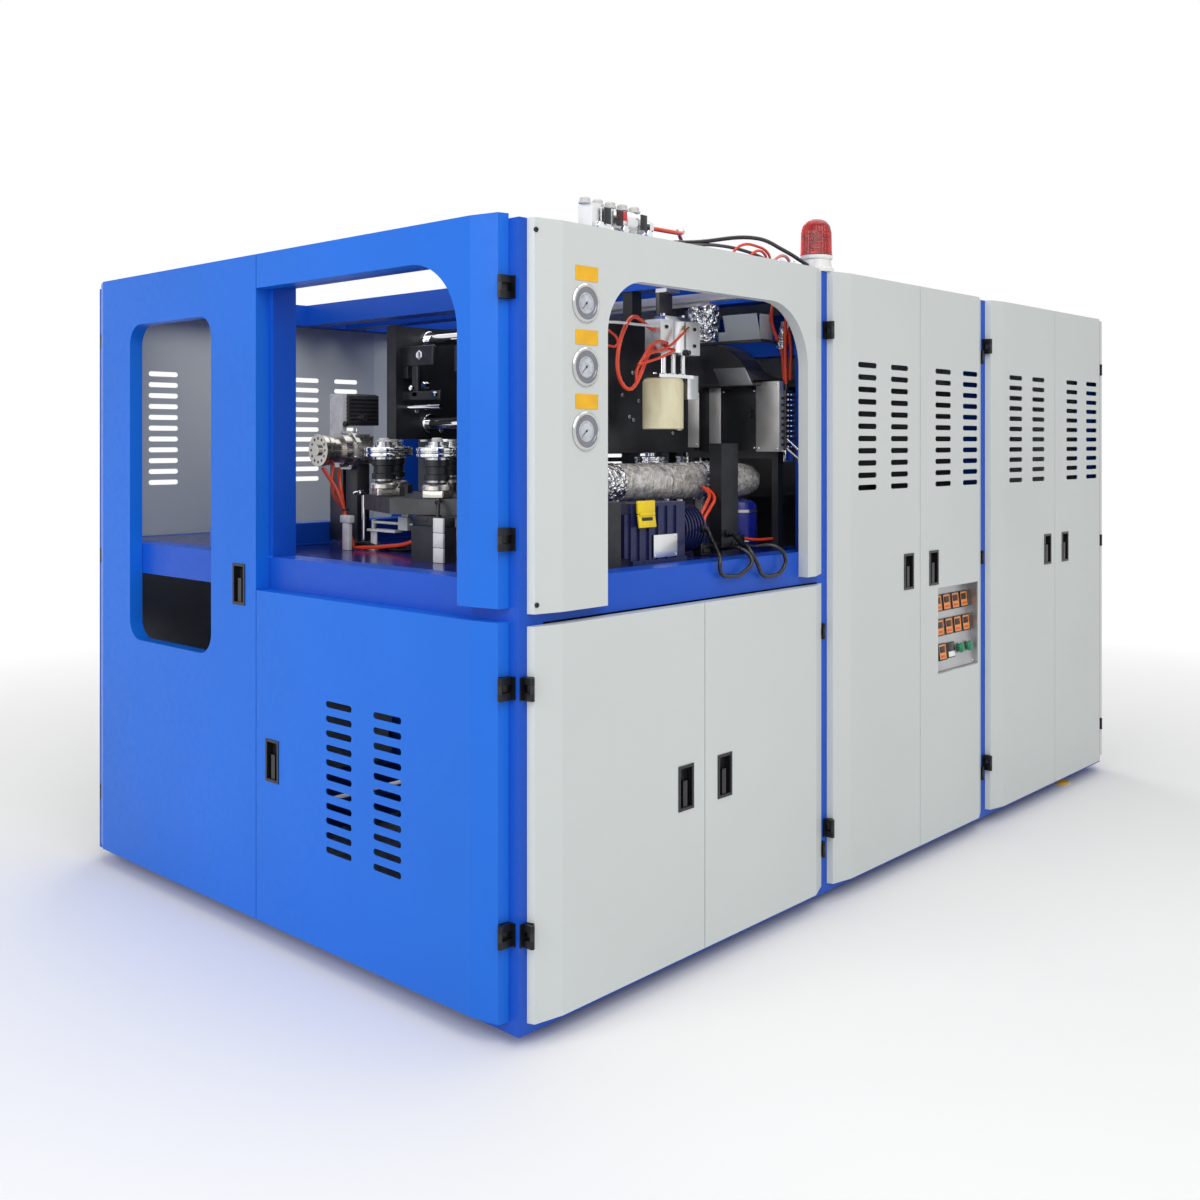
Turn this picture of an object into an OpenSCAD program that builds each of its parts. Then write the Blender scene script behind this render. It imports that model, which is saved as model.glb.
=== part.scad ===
// Blow moulding machine: a tubular frame clad in folded doors, with a transfer table,
// a clamp, an oven and a lifting cylinder in the open upper bay.
// Lengths in millimetres. The working frame has X along the grey front from the near corner,
// Y into the machine from the front doors and Z up from the foot of the doors.

/* [Overall] */
// Length along the row of doors
overall_l = 3660; // [3640:3720]
// Width from the front doors to the rear doors
overall_w = 2210; // [2200:2260]
// Height of the feet under the doors
foot_h = 60; // [50:90]
// Height of the grey doors
door_h = 1944; // [1900:1960]
// Height of the blue doors at the end
end_door_h = 1955; // [1944:1965]

/* [Frame] */
// Side of the square tube
tube = 80; // [60:80]
// Depth of the front doors in front of the frame
front_d = 35; // [30:40]
// Depth of the end doors in front of the frame
end_d = 45; // [40:50]
// Top of the bed
bed_top = 1062; // [1040:1080]
// Height of the beams at the bed
bed_beam_h = 100; // [80:110]
// Underside of the frame above the foot of the doors
frame_drop = 27; // [20:40]

/* [Doors] */
// Sheet thickness of the doors
sheet = 2.5; // [1.5:0.5:3]
// Gap between two doors
seam = 3; // [2:5]
// Top of the lower doors in the first bay
lower_h = 957; // [940:970]
// Foot of the upper front panel
upper_z = 987; // [980:1000]
// Width of the long fold beside a hinge
fold_w = 89; // [60:100]
// Depth of the side return beside a hinge
return_d = 16; // [10:20]
// Width of the steep bevel on a free edge
bevel_w = 81; // [60:90]
// Depth of the steep bevel
bevel_d = 33; // [25:33]

/* [Slots] */
// Distance between two slots
slot_pitch = 40; // [35:45]
// Slots in a column
slot_rows = 11; // [5:12]
// Length of a slot
slot_l = 117; // [90:120]
// Height of a slot
slot_h = 18; // [12:24]
// Centre of the lowest slot in the tall doors
slot_z = 1254; // [1200:1260]

/* [Handles] */
// Width of a handle cup
cup_w = 66; // [60:80]
// Height of a handle cup
cup_h = 123; // [110:130]
// Depth of a handle cup
cup_d = 24; // [15:28]

/* [Hinges] */
// Height of a hinge
hinge_h = 56; // [50:60]
// Radius of the hinge knuckle
knuckle_r = 6.5; // [5:7]
// Radius of the hinge pin
pin_r = 3; // [2:3.5]
// Clearance round the hinge pin
pin_gap = 0.08; // [0.05:0.01:0.1]

/* [Windows] */
// Width of the tall window
tall_win_w = 513; // [450:520]
// Height of the tall window
tall_win_h = 1045; // [900:1060]
// Corner radius of the tall window
tall_win_r = 66; // [40:80]
// Radius of the left corner of the front arch
arch_r1 = 143; // [120:160]
// Radius of the right corner of the front arch
arch_r2 = 194; // [160:200]
// Radius of the corner of the end arch
end_arch_r = 182; // [150:190]

/* [Transfer table] */
// Radius of the octagonal table at its corners
table_r = 378; // [360:384]
// Radius of the ring of stations
station_r = 327; // [300:330]
// Stations on the table
stations = 8; // [6:8]
// Radius of a station's disc
disc_r = 59.5; // [50:60]
// Top of the table
table_z = 1237; // [1230:1245]

/* [Lifting cylinder] */
// Radius of the nylon block
block_r = 61; // [50:65]
// Height of the nylon block
block_h = 152; // [120:160]
// Radius of a guide rod
rod_r = 9; // [7:10]
// Clearance round a guide rod
rod_gap = 0.08; // [0.05:0.01:0.1]

/* [Clamp] */
// Radius of a tie bar
tie_r = 18; // [15:22]
// Thickness of a clamp plate
plate_t = 46; // [40:50]

/* [Console] */
// Tilt of the control plate
console_tilt = 6; // [4:8]
// Side of a temperature controller
ctl_w = 56; // [48:60]
// Distance between two controllers
ctl_pitch = 66; // [60:70]

/* [Part to show] */

/* [Hidden] */
$fn = 48;
seat = 0.3;
blue = [0.13, 0.42, 0.86];
grey = [0.84, 0.86, 0.86];
black = [0.06, 0.06, 0.07];
steel = [0.72, 0.74, 0.76];

// Posts stand at these places along X and Y
post_x = [end_d, 1340, 2445, overall_l - 24 - tube];
rear_y = overall_w - front_d - tube;
mid_post_y = 1085;
post_top = door_h - 1;
beam_z = post_top - tube;
bed_z = bed_top - bed_beam_h;

// Doors: left and right limits in the working frame
seam1 = 723;
seam2 = 1937;
seam3 = 3069;
seam_end = 1104;
first_edge = 71;
m1_edge = 1362;
m2_edge = 1397;
m2_right_edge = 2465;
m3_edge = 2505;
m3_right_edge = overall_l - 35;
end_far_edge = 2139;

// Hinge axes, measured from the door's edge
axis_out = 8;
axis_in = 9;
hid_out = 7;
hid_in = 7;
hid_r = 5.5;
hid_pin_r = 2.5;
hid_h = 50;
hid_notch = 10;
front_hid_lo = 90;

// Heights of the hinges
corner_lo = 188;
corner_mid = 781;
corner_mid2 = 1140;
corner_hi = 1747;
m2_lo = 152;
m2_hi = 1729;
m3_lo = 153;
m3_hi = 1739;

// Feet: four under the runners of the first bay, two under a cross beam, two at the far end
feet = [[230, 440], [1230, 440], [230, 1770], [1230, 1770],
  [post_x[2] + tube / 2, 440], [post_x[2] + tube / 2, 1770],
  [3290, front_d + tube / 2], [3290, rear_y + tube / 2]];

table_x = 652;
table_y = 825;
table_t = 47;
cyl_x = 888;
cyl_y = 250;
cyl_z = beam_z - 199;
cyl_h = 100;
block_x = 842;
block_z = cyl_z - 223;

// Gauges: their place along the front and their heights
gauge_x = 240;
gauge_z = [door_h - 196, door_h - 355, door_h - 515];

// What stands proud of the doors: the handle flanges and the rims of the gauges
cup_proud = 2.5;
gauge_proud = 6;

module at_machine() {
  translate([-(overall_l - cup_proud) / 2, -(overall_w + cup_proud - gauge_proud) / 2, foot_h]) children();
}

// Places a thing drawn as a front door on the front, the end or the rear
module on_front(x, z) {
  translate([x, 0, z]) children();
}
module on_end(y, z) {
  translate([0, y, z]) rotate([0, 0, -90]) children();
}
module on_rear(x, z) {
  translate([x, overall_w, z]) rotate([0, 0, 180]) children();
}

// Folded sheet of a door, seen from above: kind is fold, bevel or seam
function left_out(kind, d) = kind == "fold" ? [[0, d], [7, return_d], [fold_w, 0]]
  : kind == "bevel" ? [[0, d], [0, bevel_d], [bevel_w, 0]] : [[0, d], [0, 0]];
function left_in(kind, d, t) = kind == "fold"
  ? [[t + 0.2, d + 1], [9, return_d + 2.2], [fold_w + 0.3, t]]
  : kind == "bevel" ? [[t, d + 1], [t, bevel_d + 1.7], [bevel_w + 0.5, t]]
  : [[t, d + 1], [t, t]];
function flip(list, w) = [for (i = [len(list) - 1:-1:0]) [w - list[i][0], list[i][1]]];

module pan(w, h, d, left, right) {
  difference() {
    linear_extrude(h)
      polygon(concat(left_out(left, d), flip(left_out(right, d), w)));
    translate([0, 0, sheet])
      linear_extrude(h - 2 * sheet)
        polygon(concat(left_in(left, d, sheet), flip(left_in(right, d, sheet), w)));
  }
}

// A slot with round ends, centred on its place and cut through the sheet
module slot(length, height) {
  straight = length - height;
  translate([-straight / 2, -6, -height / 2]) cube([straight, 14, height]);
  for (side = [-1, 1])
    translate([side * straight / 2, -6, 0]) rotate([-90, 0, 0]) cylinder(h = 14, d = height, $fn = 24);
}
module slot_column(x, z0, length) {
  for (i = [0:slot_rows - 1])
    translate([x, 0, z0 + i * slot_pitch]) slot(length, slot_h);
}
module cup_hole(x, z) {
  translate([x - cup_w / 2 + 4, -5, z - cup_h / 2 + 4]) cube([cup_w - 8, 12, cup_h - 8]);
}

// Recessed handle with a flange proud of the door and a lever in the cup
module cup(x, z) {
  translate([x, 0, z]) difference() {
    union() {
      translate([-cup_w / 2, -2.5, -cup_h / 2]) cube([cup_w, 2.2, cup_h]);
      translate([-cup_w / 2 + 4.3, -1, -cup_h / 2 + 4.3]) cube([cup_w - 8.6, cup_d, cup_h - 8.6]);
    }
    translate([-cup_w / 2 + 8, -4, -cup_h / 2 + 8]) cube([cup_w - 16, cup_d + 1, cup_h - 16]);
  }
  translate([x - cup_w / 2 + 7, cup_d - 6.5, z + cup_h / 2 - 46]) cube([cup_w - 14, 4, 30]);
  translate([x - 9, 2, z - cup_h / 2 + 7]) cube([18, cup_d - 5, 72]);
}

// Hinge that shows, beside the fold of a left-hand door. The post face is d behind the front.
module leaf_plate_show(d) {
  translate([-24, d - 4, 0]) cube([19, 4, hinge_h]);
  for (z = [0, hinge_h - 18]) {
    translate([-axis_out, axis_in, z]) cylinder(h = 18, r = knuckle_r);
    translate([-axis_out - knuckle_r, axis_in, z]) cube([9, d - axis_in - 2, 18]);
  }
  translate([-axis_out, axis_in, 0]) cylinder(h = hinge_h, r = pin_r);
}
module leaf_door_show(d) {
  difference() {
    union() {
      linear_extrude(hinge_h)
        polygon([[0.2 - 0.4, d - 1], [6.5, return_d - 0.3], [3.4, return_d - 1.6], [-3.1, d - 1]]);
      translate([-axis_out, axis_in, 18.3]) cylinder(h = hinge_h - 36.6, r = knuckle_r);
      translate([0, 0, 18.3]) linear_extrude(hinge_h - 36.6)
        polygon([[-axis_out, axis_in - knuckle_r], [6.4, return_d - 1.2], [5.4, return_d + 2],
          [0, return_d + 4], [-axis_out, axis_in + knuckle_r - 0.5]]);
    }
    translate([-axis_out, axis_in, -1]) cylinder(h = hinge_h + 2, r = pin_r + pin_gap);
  }
}

// Hinge behind the steep bevel of a right-hand door of width w
module leaf_plate_hid(w, d) {
  for (z = [0, hid_h - 14]) {
    translate([w + hid_out, d - hid_in, z]) cylinder(h = 14, r = hid_r);
    translate([w + hid_out - 5, d - hid_in, z]) cube([10, hid_in, 14]);
  }
  translate([w + hid_out, d - hid_in, 0]) cylinder(h = hid_h, r = hid_pin_r);
}
module leaf_door_hid(w, d) {
  difference() {
    union() {
      translate([w + hid_out, d - hid_in, 14.3]) cylinder(h = hid_h - 28.6, r = hid_r);
      translate([w - hid_notch + 0.3, d - 3.4, 14.3]) cube([hid_notch + hid_out - 0.3, 3, hid_h - 28.6]);
      translate([w - 26, d - 3.4, 0]) cube([12, 3, hid_h]);
      translate([w - 20, d - 3.4, 14.3]) cube([14, 3, hid_h - 28.6]);
    }
    translate([w + hid_out, d - hid_in, -1]) cylinder(h = hid_h + 2, r = hid_pin_r + pin_gap);
  }
}
// Room for a hidden hinge in the bevel of the door
module hid_room(w, d, z) {
  translate([w - 27, d - 3.7, z - 0.3]) cube([13.3, 10, hid_h + 0.6]);
  translate([w - 21, d - 3.7, z + 14]) cube([30, 10, hid_h - 28]);
}
module mirror_door(w) {
  translate([w, 0, 0]) mirror([1, 0, 0]) children();
}

// Frame
module frame_posts() {
  color(blue) {
    for (x = post_x)
      for (y = [front_d, rear_y])
        translate([x, y, -frame_drop]) cube([tube, tube, post_top + frame_drop]);
    translate([post_x[0], mid_post_y, -frame_drop]) cube([tube, tube, post_top + frame_drop]);
  }
}
module frame_beams_x() {
  color(blue)
    for (i = [0:2])
      for (y = [front_d, rear_y]) {
        length = post_x[i + 1] - post_x[i] - tube;
        translate([post_x[i] + tube, y, beam_z]) cube([length, tube, tube]);
        translate([post_x[i] + tube, y, -frame_drop]) cube([length, tube, tube]);
        if (i == 0) {
          translate([post_x[i] + tube, y, bed_z]) cube([length, tube, bed_beam_h]);
          translate([post_x[i] + tube, y == front_d ? 400 : 1730, -frame_drop]) cube([length, tube, tube]);
        }
      }
}
module frame_beams_y() {
  color(blue) {
    inner = rear_y - front_d - tube;
    y0 = front_d + tube;
    for (x = [post_x[1], post_x[2], post_x[3]]) {
      translate([x, y0, beam_z]) cube([tube, inner, tube]);
      translate([x, y0, -frame_drop]) cube([tube, inner, tube]);
    }
    // End of the first bay, either side of the middle post
    for (z = [[-frame_drop, tube], [bed_z, bed_beam_h], [beam_z, tube]]) {
      translate([post_x[0], y0, z[0]]) cube([tube, mid_post_y - y0, z[1]]);
      translate([post_x[0], mid_post_y + tube, z[0]])
        cube([tube, rear_y - mid_post_y - tube, z[1]]);
    }
    translate([post_x[1], y0, bed_z]) cube([tube, inner, bed_beam_h]);
    // Beam over the oven mouth and the two beams that carry the clamp and the rail
    translate([post_x[1], y0, 1680]) cube([tube, inner, 76]);
    for (x = [856, 1043])
      translate([x, y0, beam_z]) cube([tube, inner, tube]);
  }
}
module bed_plate() {
  color(blue)
    for (i = [0:2])
      translate([post_x[i] + tube, front_d + tube, i == 0 ? bed_top - 10 : tube - frame_drop - 4])
        cube([post_x[i + 1] - post_x[i] - tube, rear_y - front_d - tube, i == 0 ? 10 : 4]);
}
module roof_sheets() {
  color(grey) difference() {
    for (i = [1, 2])
      translate([post_x[i] + (i == 1 ? 0 : tube / 2), front_d + tube + 2, post_top])
        cube([post_x[i + 1] - post_x[i] + (i == 1 ? tube / 2 - 2 : tube / 2), rear_y - front_d - tube - 4, 3]);
    // Notch round the warning lamp
    translate([beacon_x, beacon_y, post_top - 1]) cylinder(h = 6, r = 58);
  }
}

// Front arch in the fixed upper panel, g larger all round and from y0 to y1
arch_x0 = 323;
arch_x1 = 1236;
arch_top = door_h - 123;
module arch(g, y0, y1) {
  deep = y1 - y0;
  foot = upper_z - 87;
  x1 = arch_x0 + arch_r1;
  x2 = arch_x1 - arch_r2;
  translate([arch_x0 - g, y0, foot]) cube([arch_x1 - arch_x0 + 2 * g, deep, arch_top - arch_r2 - foot]);
  translate([arch_x0 - g, y0, foot]) cube([x2 - arch_x0 + g, deep, arch_top - arch_r1 - foot]);
  translate([x1, y0, foot]) cube([x2 - x1, deep, arch_top + g - foot]);
  translate([x1, y0, arch_top - arch_r1]) rotate([-90, 0, 0]) cylinder(h = deep, r = arch_r1 + g, $fn = 96);
  translate([x2, y0, arch_top - arch_r2]) rotate([-90, 0, 0]) cylinder(h = deep, r = arch_r2 + g, $fn = 96);
}
module front_upper_panel() {
  h = door_h - upper_z;
  color(grey) {
    difference() {
      on_front(first_edge, upper_z) pan(m1_edge - first_edge, h, front_d - 0.3, "fold", "bevel");
      arch(0, -5, front_d + 5);
      for (z = gauge_z)
        translate([gauge_x, -5, z]) rotate([-90, 0, 0]) cylinder(h = 20, r = 44);
      // Room for the hidden top hinge of the lower door is below this panel
    }
    // Flange round the arch
    difference() {
      intersection() {
        arch(sheet, sheet - 0.5, front_d - 1);
        translate([0, 0, upper_z + sheet - 0.5]) cube([1400, 60, h]);
      }
      arch(0, -5, front_d + 5);
    }
  }
}

module rear_panels() {
  color(grey) {
    // Plain bolted panels behind the second and third bay
    difference() {
      union() {
        on_rear(m2_right_edge + 30, 0) pan(m2_right_edge + 30 - 1405, door_h, front_d - 0.3, "fold", "bevel");
        on_rear(m3_right_edge, 0) pan(m3_right_edge - m2_right_edge - 38, door_h, front_d - 0.3, "bevel", "fold");
      }
      on_rear(m2_right_edge + 30, 0) for (x = [300, 560, 820]) slot_column(x, slot_z, slot_l);
      on_rear(m3_right_edge, 0) for (x = [300, 560, 820]) slot_column(x, slot_z, slot_l);
    }
  }
}
module end_panel() {
  color(grey)
    translate([overall_l, front_d, 0]) rotate([0, 0, 90]) difference() {
      pan(rear_y + tube - front_d, door_h, 23.7, "seam", "seam");
      for (x = [700, 1440]) slot_column(x, 300, slot_l);
      for (x = [40, rear_y + tube - front_d - 40])
        for (z = [40, 660, 1280, door_h - 40])
          translate([x, -1, z]) rotate([-90, 0, 0]) cylinder(h = 6, r = 5, $fn = 16);
    }
}
module levelling_feet() {
  color([0.93, 0.75, 0.10])
    for (place = feet)
      translate([place[0], place[1], -foot_h]) {
        cylinder(h = 9, r = 38);
        translate([0, 0, 9]) cylinder(h = 7, r1 = 32, r2 = 16);
        cylinder(h = foot_h - frame_drop, r = 10);
        translate([0, 0, 20]) cylinder(h = 8, r = 17, $fn = 6);
      }
}

// Doors: sheets
module door_end_tall() {
  w = end_far_edge - seam_end - seam / 2;
  wx = end_far_edge - 1867;
  color(blue) {
    difference() {
      on_end(end_far_edge, 0) difference() {
        pan(w, end_door_h, end_d - 0.3, "bevel", "seam");
        tall_window(wx, 0, -5, 60);
        cup_hole(end_far_edge - 1196, 978);
        mirror_door(0) {
          hid_room(0, end_d, 150);
          hid_room(0, end_d, 980);
          hid_room(0, end_d, 1730);
        }
      }
    }
    on_end(end_far_edge, 0) difference() {
      tall_window(wx, sheet, sheet - 0.5, end_d - 1);
      tall_window(wx, 0, -5, 60);
    }
  }
}
module tall_window(x, g, y0, y1) {
  translate([x, y0, 747]) {
    deep = y1 - y0;
    translate([-g, 0, tall_win_r]) cube([tall_win_w + 2 * g, deep, tall_win_h - 2 * tall_win_r]);
    translate([tall_win_r, 0, -g]) cube([tall_win_w - 2 * tall_win_r, deep, tall_win_h + 2 * g]);
    for (cx = [tall_win_r, tall_win_w - tall_win_r])
      for (cz = [tall_win_r, tall_win_h - tall_win_r])
        translate([cx, 0, cz]) rotate([-90, 0, 0]) cylinder(h = deep, r = tall_win_r + g);
  }
}
module end_arch(g, y0, y1) {
  // Opening under the band and beside the leg, in door coordinates
  w = seam_end - seam / 2 - first_edge;
  deep = y1 - y0;
  leg = w - (209 - first_edge);
  top = 1855;
  translate([-20, y0, 900]) cube([leg + g + 20, deep, top - end_arch_r - 900]);
  translate([-20, y0, 900]) cube([leg - end_arch_r + 20, deep, top + g - 900]);
  translate([leg - end_arch_r, y0, top - end_arch_r]) rotate([-90, 0, 0]) cylinder(h = deep, r = end_arch_r + g, $fn = 96);
}
module door_end_upper() {
  w = seam_end - seam / 2 - first_edge;
  z0 = 1000;
  color(blue) on_end(seam_end - seam / 2, 0) {
    difference() {
      translate([0, 0, z0]) pan(w, end_door_h - z0, end_d - 0.3, "seam", "fold");
      end_arch(0, -5, 60);
    }
    difference() {
      intersection() {
        end_arch(sheet, sheet - 0.5, end_d - 1);
        translate([0.5, 0, z0 + 0.5]) cube([w, 60, 1000]);
      }
      end_arch(0, -5, 60);
    }
  }
}
module door_end_lower() {
  w = seam_end - seam / 2 - first_edge;
  color(blue) on_end(seam_end - seam / 2, 0) difference() {
    pan(w, lower_h + 10, end_d - 0.3, "seam", "fold");
    slot_column(seam_end - 487, 281, slot_l);
    slot_column(seam_end - 699, 281, slot_l);
    cup_hole(seam_end - 1020, 479);
  }
}
module door_front_left() {
  color(grey) on_front(first_edge, 0) difference() {
    pan(seam1 - seam / 2 - first_edge, lower_h, front_d - 0.3, "fold", "seam");
    cup_hole(639 - first_edge, 462);
  }
}
module door_front_right() {
  w = m1_edge - seam1 - seam / 2;
  color(grey) on_front(seam1 + seam / 2, 0) difference() {
    pan(w, lower_h, front_d - 0.3, "seam", "bevel");
    cup_hole(812 - seam1, 462);
    hid_room(w, front_d, front_hid_lo);
    hid_room(w, front_d, 780);
  }
}
module door_m2_left() {
  color(grey) on_front(m2_edge, 0) difference() {
    pan(seam2 - seam / 2 - m2_edge, door_h, front_d - 0.3, "fold", "seam");
    slot_column(1587 - m2_edge, slot_z, slot_l);
    slot_column(1796 - m2_edge, slot_z, slot_l);
    cup_hole(1857 - m2_edge, 959);
  }
}
module door_m2_right() {
  w = m2_right_edge - seam2 - seam / 2;
  color(grey) on_front(seam2 + seam / 2, 0) difference() {
    pan(w, door_h, front_d - 0.3, "seam", "bevel");
    slot_column(2104 - seam2, slot_z, slot_l);
    slot_column(2312 - seam2, slot_z, slot_l);
    cup_hole(2033 - seam2, 959);
    translate([2065 - seam2, -5, 578]) cube([310, 20, 307]);
    hid_room(w, front_d, 120);
    hid_room(w, front_d, 940);
    hid_room(w, front_d, 1700);
  }
}
module door_m3_left() {
  color(grey) on_front(m3_edge, 0) difference() {
    pan(seam3 - seam / 2 - m3_edge, door_h, front_d - 0.3, "fold", "seam");
    slot_column(2700 - m3_edge, slot_z, slot_l);
    slot_column(2909 - m3_edge, slot_z, slot_l);
    cup_hole(2996 - m3_edge, 966);
  }
}
module door_m3_right() {
  w = m3_right_edge - seam3 - seam / 2;
  color(grey) on_front(seam3 + seam / 2, 0) difference() {
    pan(w, door_h, front_d - 0.3, "seam", "bevel");
    slot_column(m3_right_edge - 382 - seam3, slot_z, slot_l);
    slot_column(m3_right_edge - 173 - seam3, slot_z, slot_l);
    cup_hole(3168 - seam3, 966);
    hid_room(w, front_d, 120);
    hid_room(w, front_d, 940);
    hid_room(w, front_d, 1700);
  }
}
// The rear doors hang on the posts at both ends of the first bay and meet at X 700
rear_seam = 700;
rear_far = 1352;
rear_near = 80;
module door_rear_left() {
  w = rear_far - rear_seam - seam / 2;
  color(grey) on_rear(rear_far, 0) difference() {
    pan(w, door_h, front_d - 0.3, "bevel", "seam");
    slot_column(rear_far - 1125, slot_z, slot_l);
    slot_column(rear_far - 932, slot_z, slot_l);
    cup_hole(w - 84, 959);
    mirror_door(0) {
      hid_room(0, front_d, 120);
      hid_room(0, front_d, 940);
      hid_room(0, front_d, 1700);
    }
  }
}
module door_rear_right() {
  w = rear_seam - rear_near - seam / 2;
  color(grey) on_rear(rear_seam - seam / 2, 0) difference() {
    pan(w, door_h, front_d - 0.3, "seam", "bevel");
    slot_column(rear_seam - 307, slot_z, slot_l);
    cup_hole(84, 959);
    hid_room(w, front_d, 120);
    hid_room(w, front_d, 940);
    hid_room(w, front_d, 1700);
  }
}

// Doors: handles and the moving halves of the hinges
module fit_end_tall() {
  color(black) on_end(end_far_edge, 0) {
    cup(end_far_edge - 1196, 978);
    mirror_door(0) for (z = [150, 980, 1730]) translate([0, 0, z]) leaf_door_hid(0, end_d);
  }
}
module fit_end_upper() {
  w = seam_end - seam / 2 - first_edge;
  color(black) on_end(seam_end - seam / 2, 0)
    mirror_door(w) for (z = [corner_mid2, corner_hi]) translate([0, 0, z]) leaf_door_show(end_d);
}
module fit_end_lower() {
  w = seam_end - seam / 2 - first_edge;
  color(black) on_end(seam_end - seam / 2, 0) {
    cup(seam_end - 1020, 479);
    mirror_door(w) for (z = [corner_lo, corner_mid]) translate([0, 0, z]) leaf_door_show(end_d);
  }
}
module fit_front_left() {
  color(black) on_front(first_edge, 0) {
    cup(639 - first_edge, 462);
    for (z = [corner_lo, corner_mid]) translate([0, 0, z]) leaf_door_show(front_d);
  }
}
module fit_front_right() {
  w = m1_edge - seam1 - seam / 2;
  color(black) on_front(seam1 + seam / 2, 0) {
    cup(812 - seam1, 462);
    for (z = [front_hid_lo, 780]) translate([0, 0, z]) leaf_door_hid(w, front_d);
  }
}
module fit_m2_left() {
  color(black) on_front(m2_edge, 0) {
    cup(1857 - m2_edge, 959);
    for (z = [m2_lo, m2_hi]) translate([0, 0, z]) leaf_door_show(front_d);
  }
}
module fit_m2_right() {
  w = m2_right_edge - seam2 - seam / 2;
  color(black) on_front(seam2 + seam / 2, 0) {
    cup(2033 - seam2, 959);
    for (z = [120, 940, 1700]) translate([0, 0, z]) leaf_door_hid(w, front_d);
  }
}
module fit_m3_left() {
  color(black) on_front(m3_edge, 0) {
    cup(2996 - m3_edge, 966);
    for (z = [m3_lo, m3_hi]) translate([0, 0, z]) leaf_door_show(front_d);
  }
}
module fit_m3_right() {
  w = m3_right_edge - seam3 - seam / 2;
  color(black) on_front(seam3 + seam / 2, 0) {
    cup(3168 - seam3, 966);
    for (z = [120, 940, 1700]) translate([0, 0, z]) leaf_door_hid(w, front_d);
  }
}
module fit_rear_left() {
  w = rear_far - rear_seam - seam / 2;
  color(black) on_rear(rear_far, 0) {
    cup(w - 84, 959);
    mirror_door(0) for (z = [120, 940, 1700]) translate([0, 0, z]) leaf_door_hid(0, front_d);
  }
}
module fit_rear_right() {
  w = rear_seam - rear_near - seam / 2;
  color(black) on_rear(rear_seam - seam / 2, 0) {
    cup(84, 959);
    for (z = [120, 940, 1700]) translate([0, 0, z]) leaf_door_hid(w, front_d);
  }
}
module hinge_leaves() {
  color(black) {
    w_end = seam_end - seam / 2 - first_edge;
    on_end(seam_end - seam / 2, 0) mirror_door(w_end)
      for (z = [corner_lo, corner_mid, corner_mid2, corner_hi])
        translate([0, 0, z]) leaf_plate_show(end_d);
    on_front(first_edge, 0) for (z = [corner_lo, corner_mid]) translate([0, 0, z]) leaf_plate_show(front_d);
    on_front(m2_edge, 0) for (z = [m2_lo, m2_hi]) translate([0, 0, z]) leaf_plate_show(front_d);
    on_front(m3_edge, 0) for (z = [m3_lo, m3_hi]) translate([0, 0, z]) leaf_plate_show(front_d);
    on_end(end_far_edge, 0) mirror_door(0)
      for (z = [150, 980, 1730]) translate([0, 0, z]) leaf_plate_hid(0, end_d);
    on_front(m1_edge, 0) for (z = [front_hid_lo, 780]) translate([0, 0, z]) leaf_plate_hid(0, front_d);
    for (x = [m2_right_edge, m3_right_edge])
      on_front(x, 0) for (z = [120, 940, 1700]) translate([0, 0, z]) leaf_plate_hid(0, front_d);
    on_rear(rear_far, 0) mirror_door(0)
      for (z = [120, 940, 1700]) translate([0, 0, z]) leaf_plate_hid(0, front_d);
    on_rear(rear_near, 0) for (z = [120, 940, 1700]) translate([0, 0, z]) leaf_plate_hid(0, front_d);
  }
}

// Gauges in the front panel, with a turned flange, a domed rim and a stem behind
module gauges() {
  color(steel)
    for (z = gauge_z)
      translate([gauge_x, 0, z]) rotate([90, 0, 0]) {
        rotate_extrude($fn = 64)
          polygon([[0, -30], [38, -30], [42, -28], [42, 0.3], [49, 0.3], [49, 3.5], [46, 6],
            [41, 6], [39.5, 3], [0, 3]]);
        translate([0, -30, -36]) cylinder(h = 12, r = 7, $fn = 6);
      }
}
module gauge_labels() {
  color([0.95, 0.75, 0.10])
    for (z = gauge_z)
      translate([gauge_x - 37, -1.6, z + 55.5]) cube([82, 1.6, 37]);
}

// Warning lamp on the post between the first and the second bay
beacon_x = 1402;
beacon_y = 78;
module beacon_base() {
  color([0.9, 0.9, 0.88])
    translate([beacon_x, beacon_y, post_top]) rotate_extrude($fn = 64)
      polygon([[0, 0], [42.5, 0], [42.5, 1.5], [56, 1.5], [56, 12], [50, 18], [47, 40], [52, 44], [52, 54], [8, 54], [8, 60], [0, 60]]);
}
module beacon_lens() {
  color([0.8, 0.05, 0.05])
    translate([beacon_x, beacon_y, post_top + 54]) rotate_extrude($fn = 64)
      polygon([[47, 0], [52, 0], [50, 20], [49, 74], [44, 96], [34, 110], [20, 117], [0, 119],
        [0, 115.5], [19, 113.5], [31, 107], [41, 94], [46, 74], [47, 20]]);
}
module beacon_reflector() {
  color(steel)
    translate([beacon_x, beacon_y, post_top + 60.4]) {
      difference() {
        cylinder(h = 70, r = 26);
        translate([0, 0, 8]) cylinder(h = 80, r = 23);
        translate([0, -40, 8]) cube([60, 80, 80]);
      }
      cylinder(h = 5, r = 34);
    }
}

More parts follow.
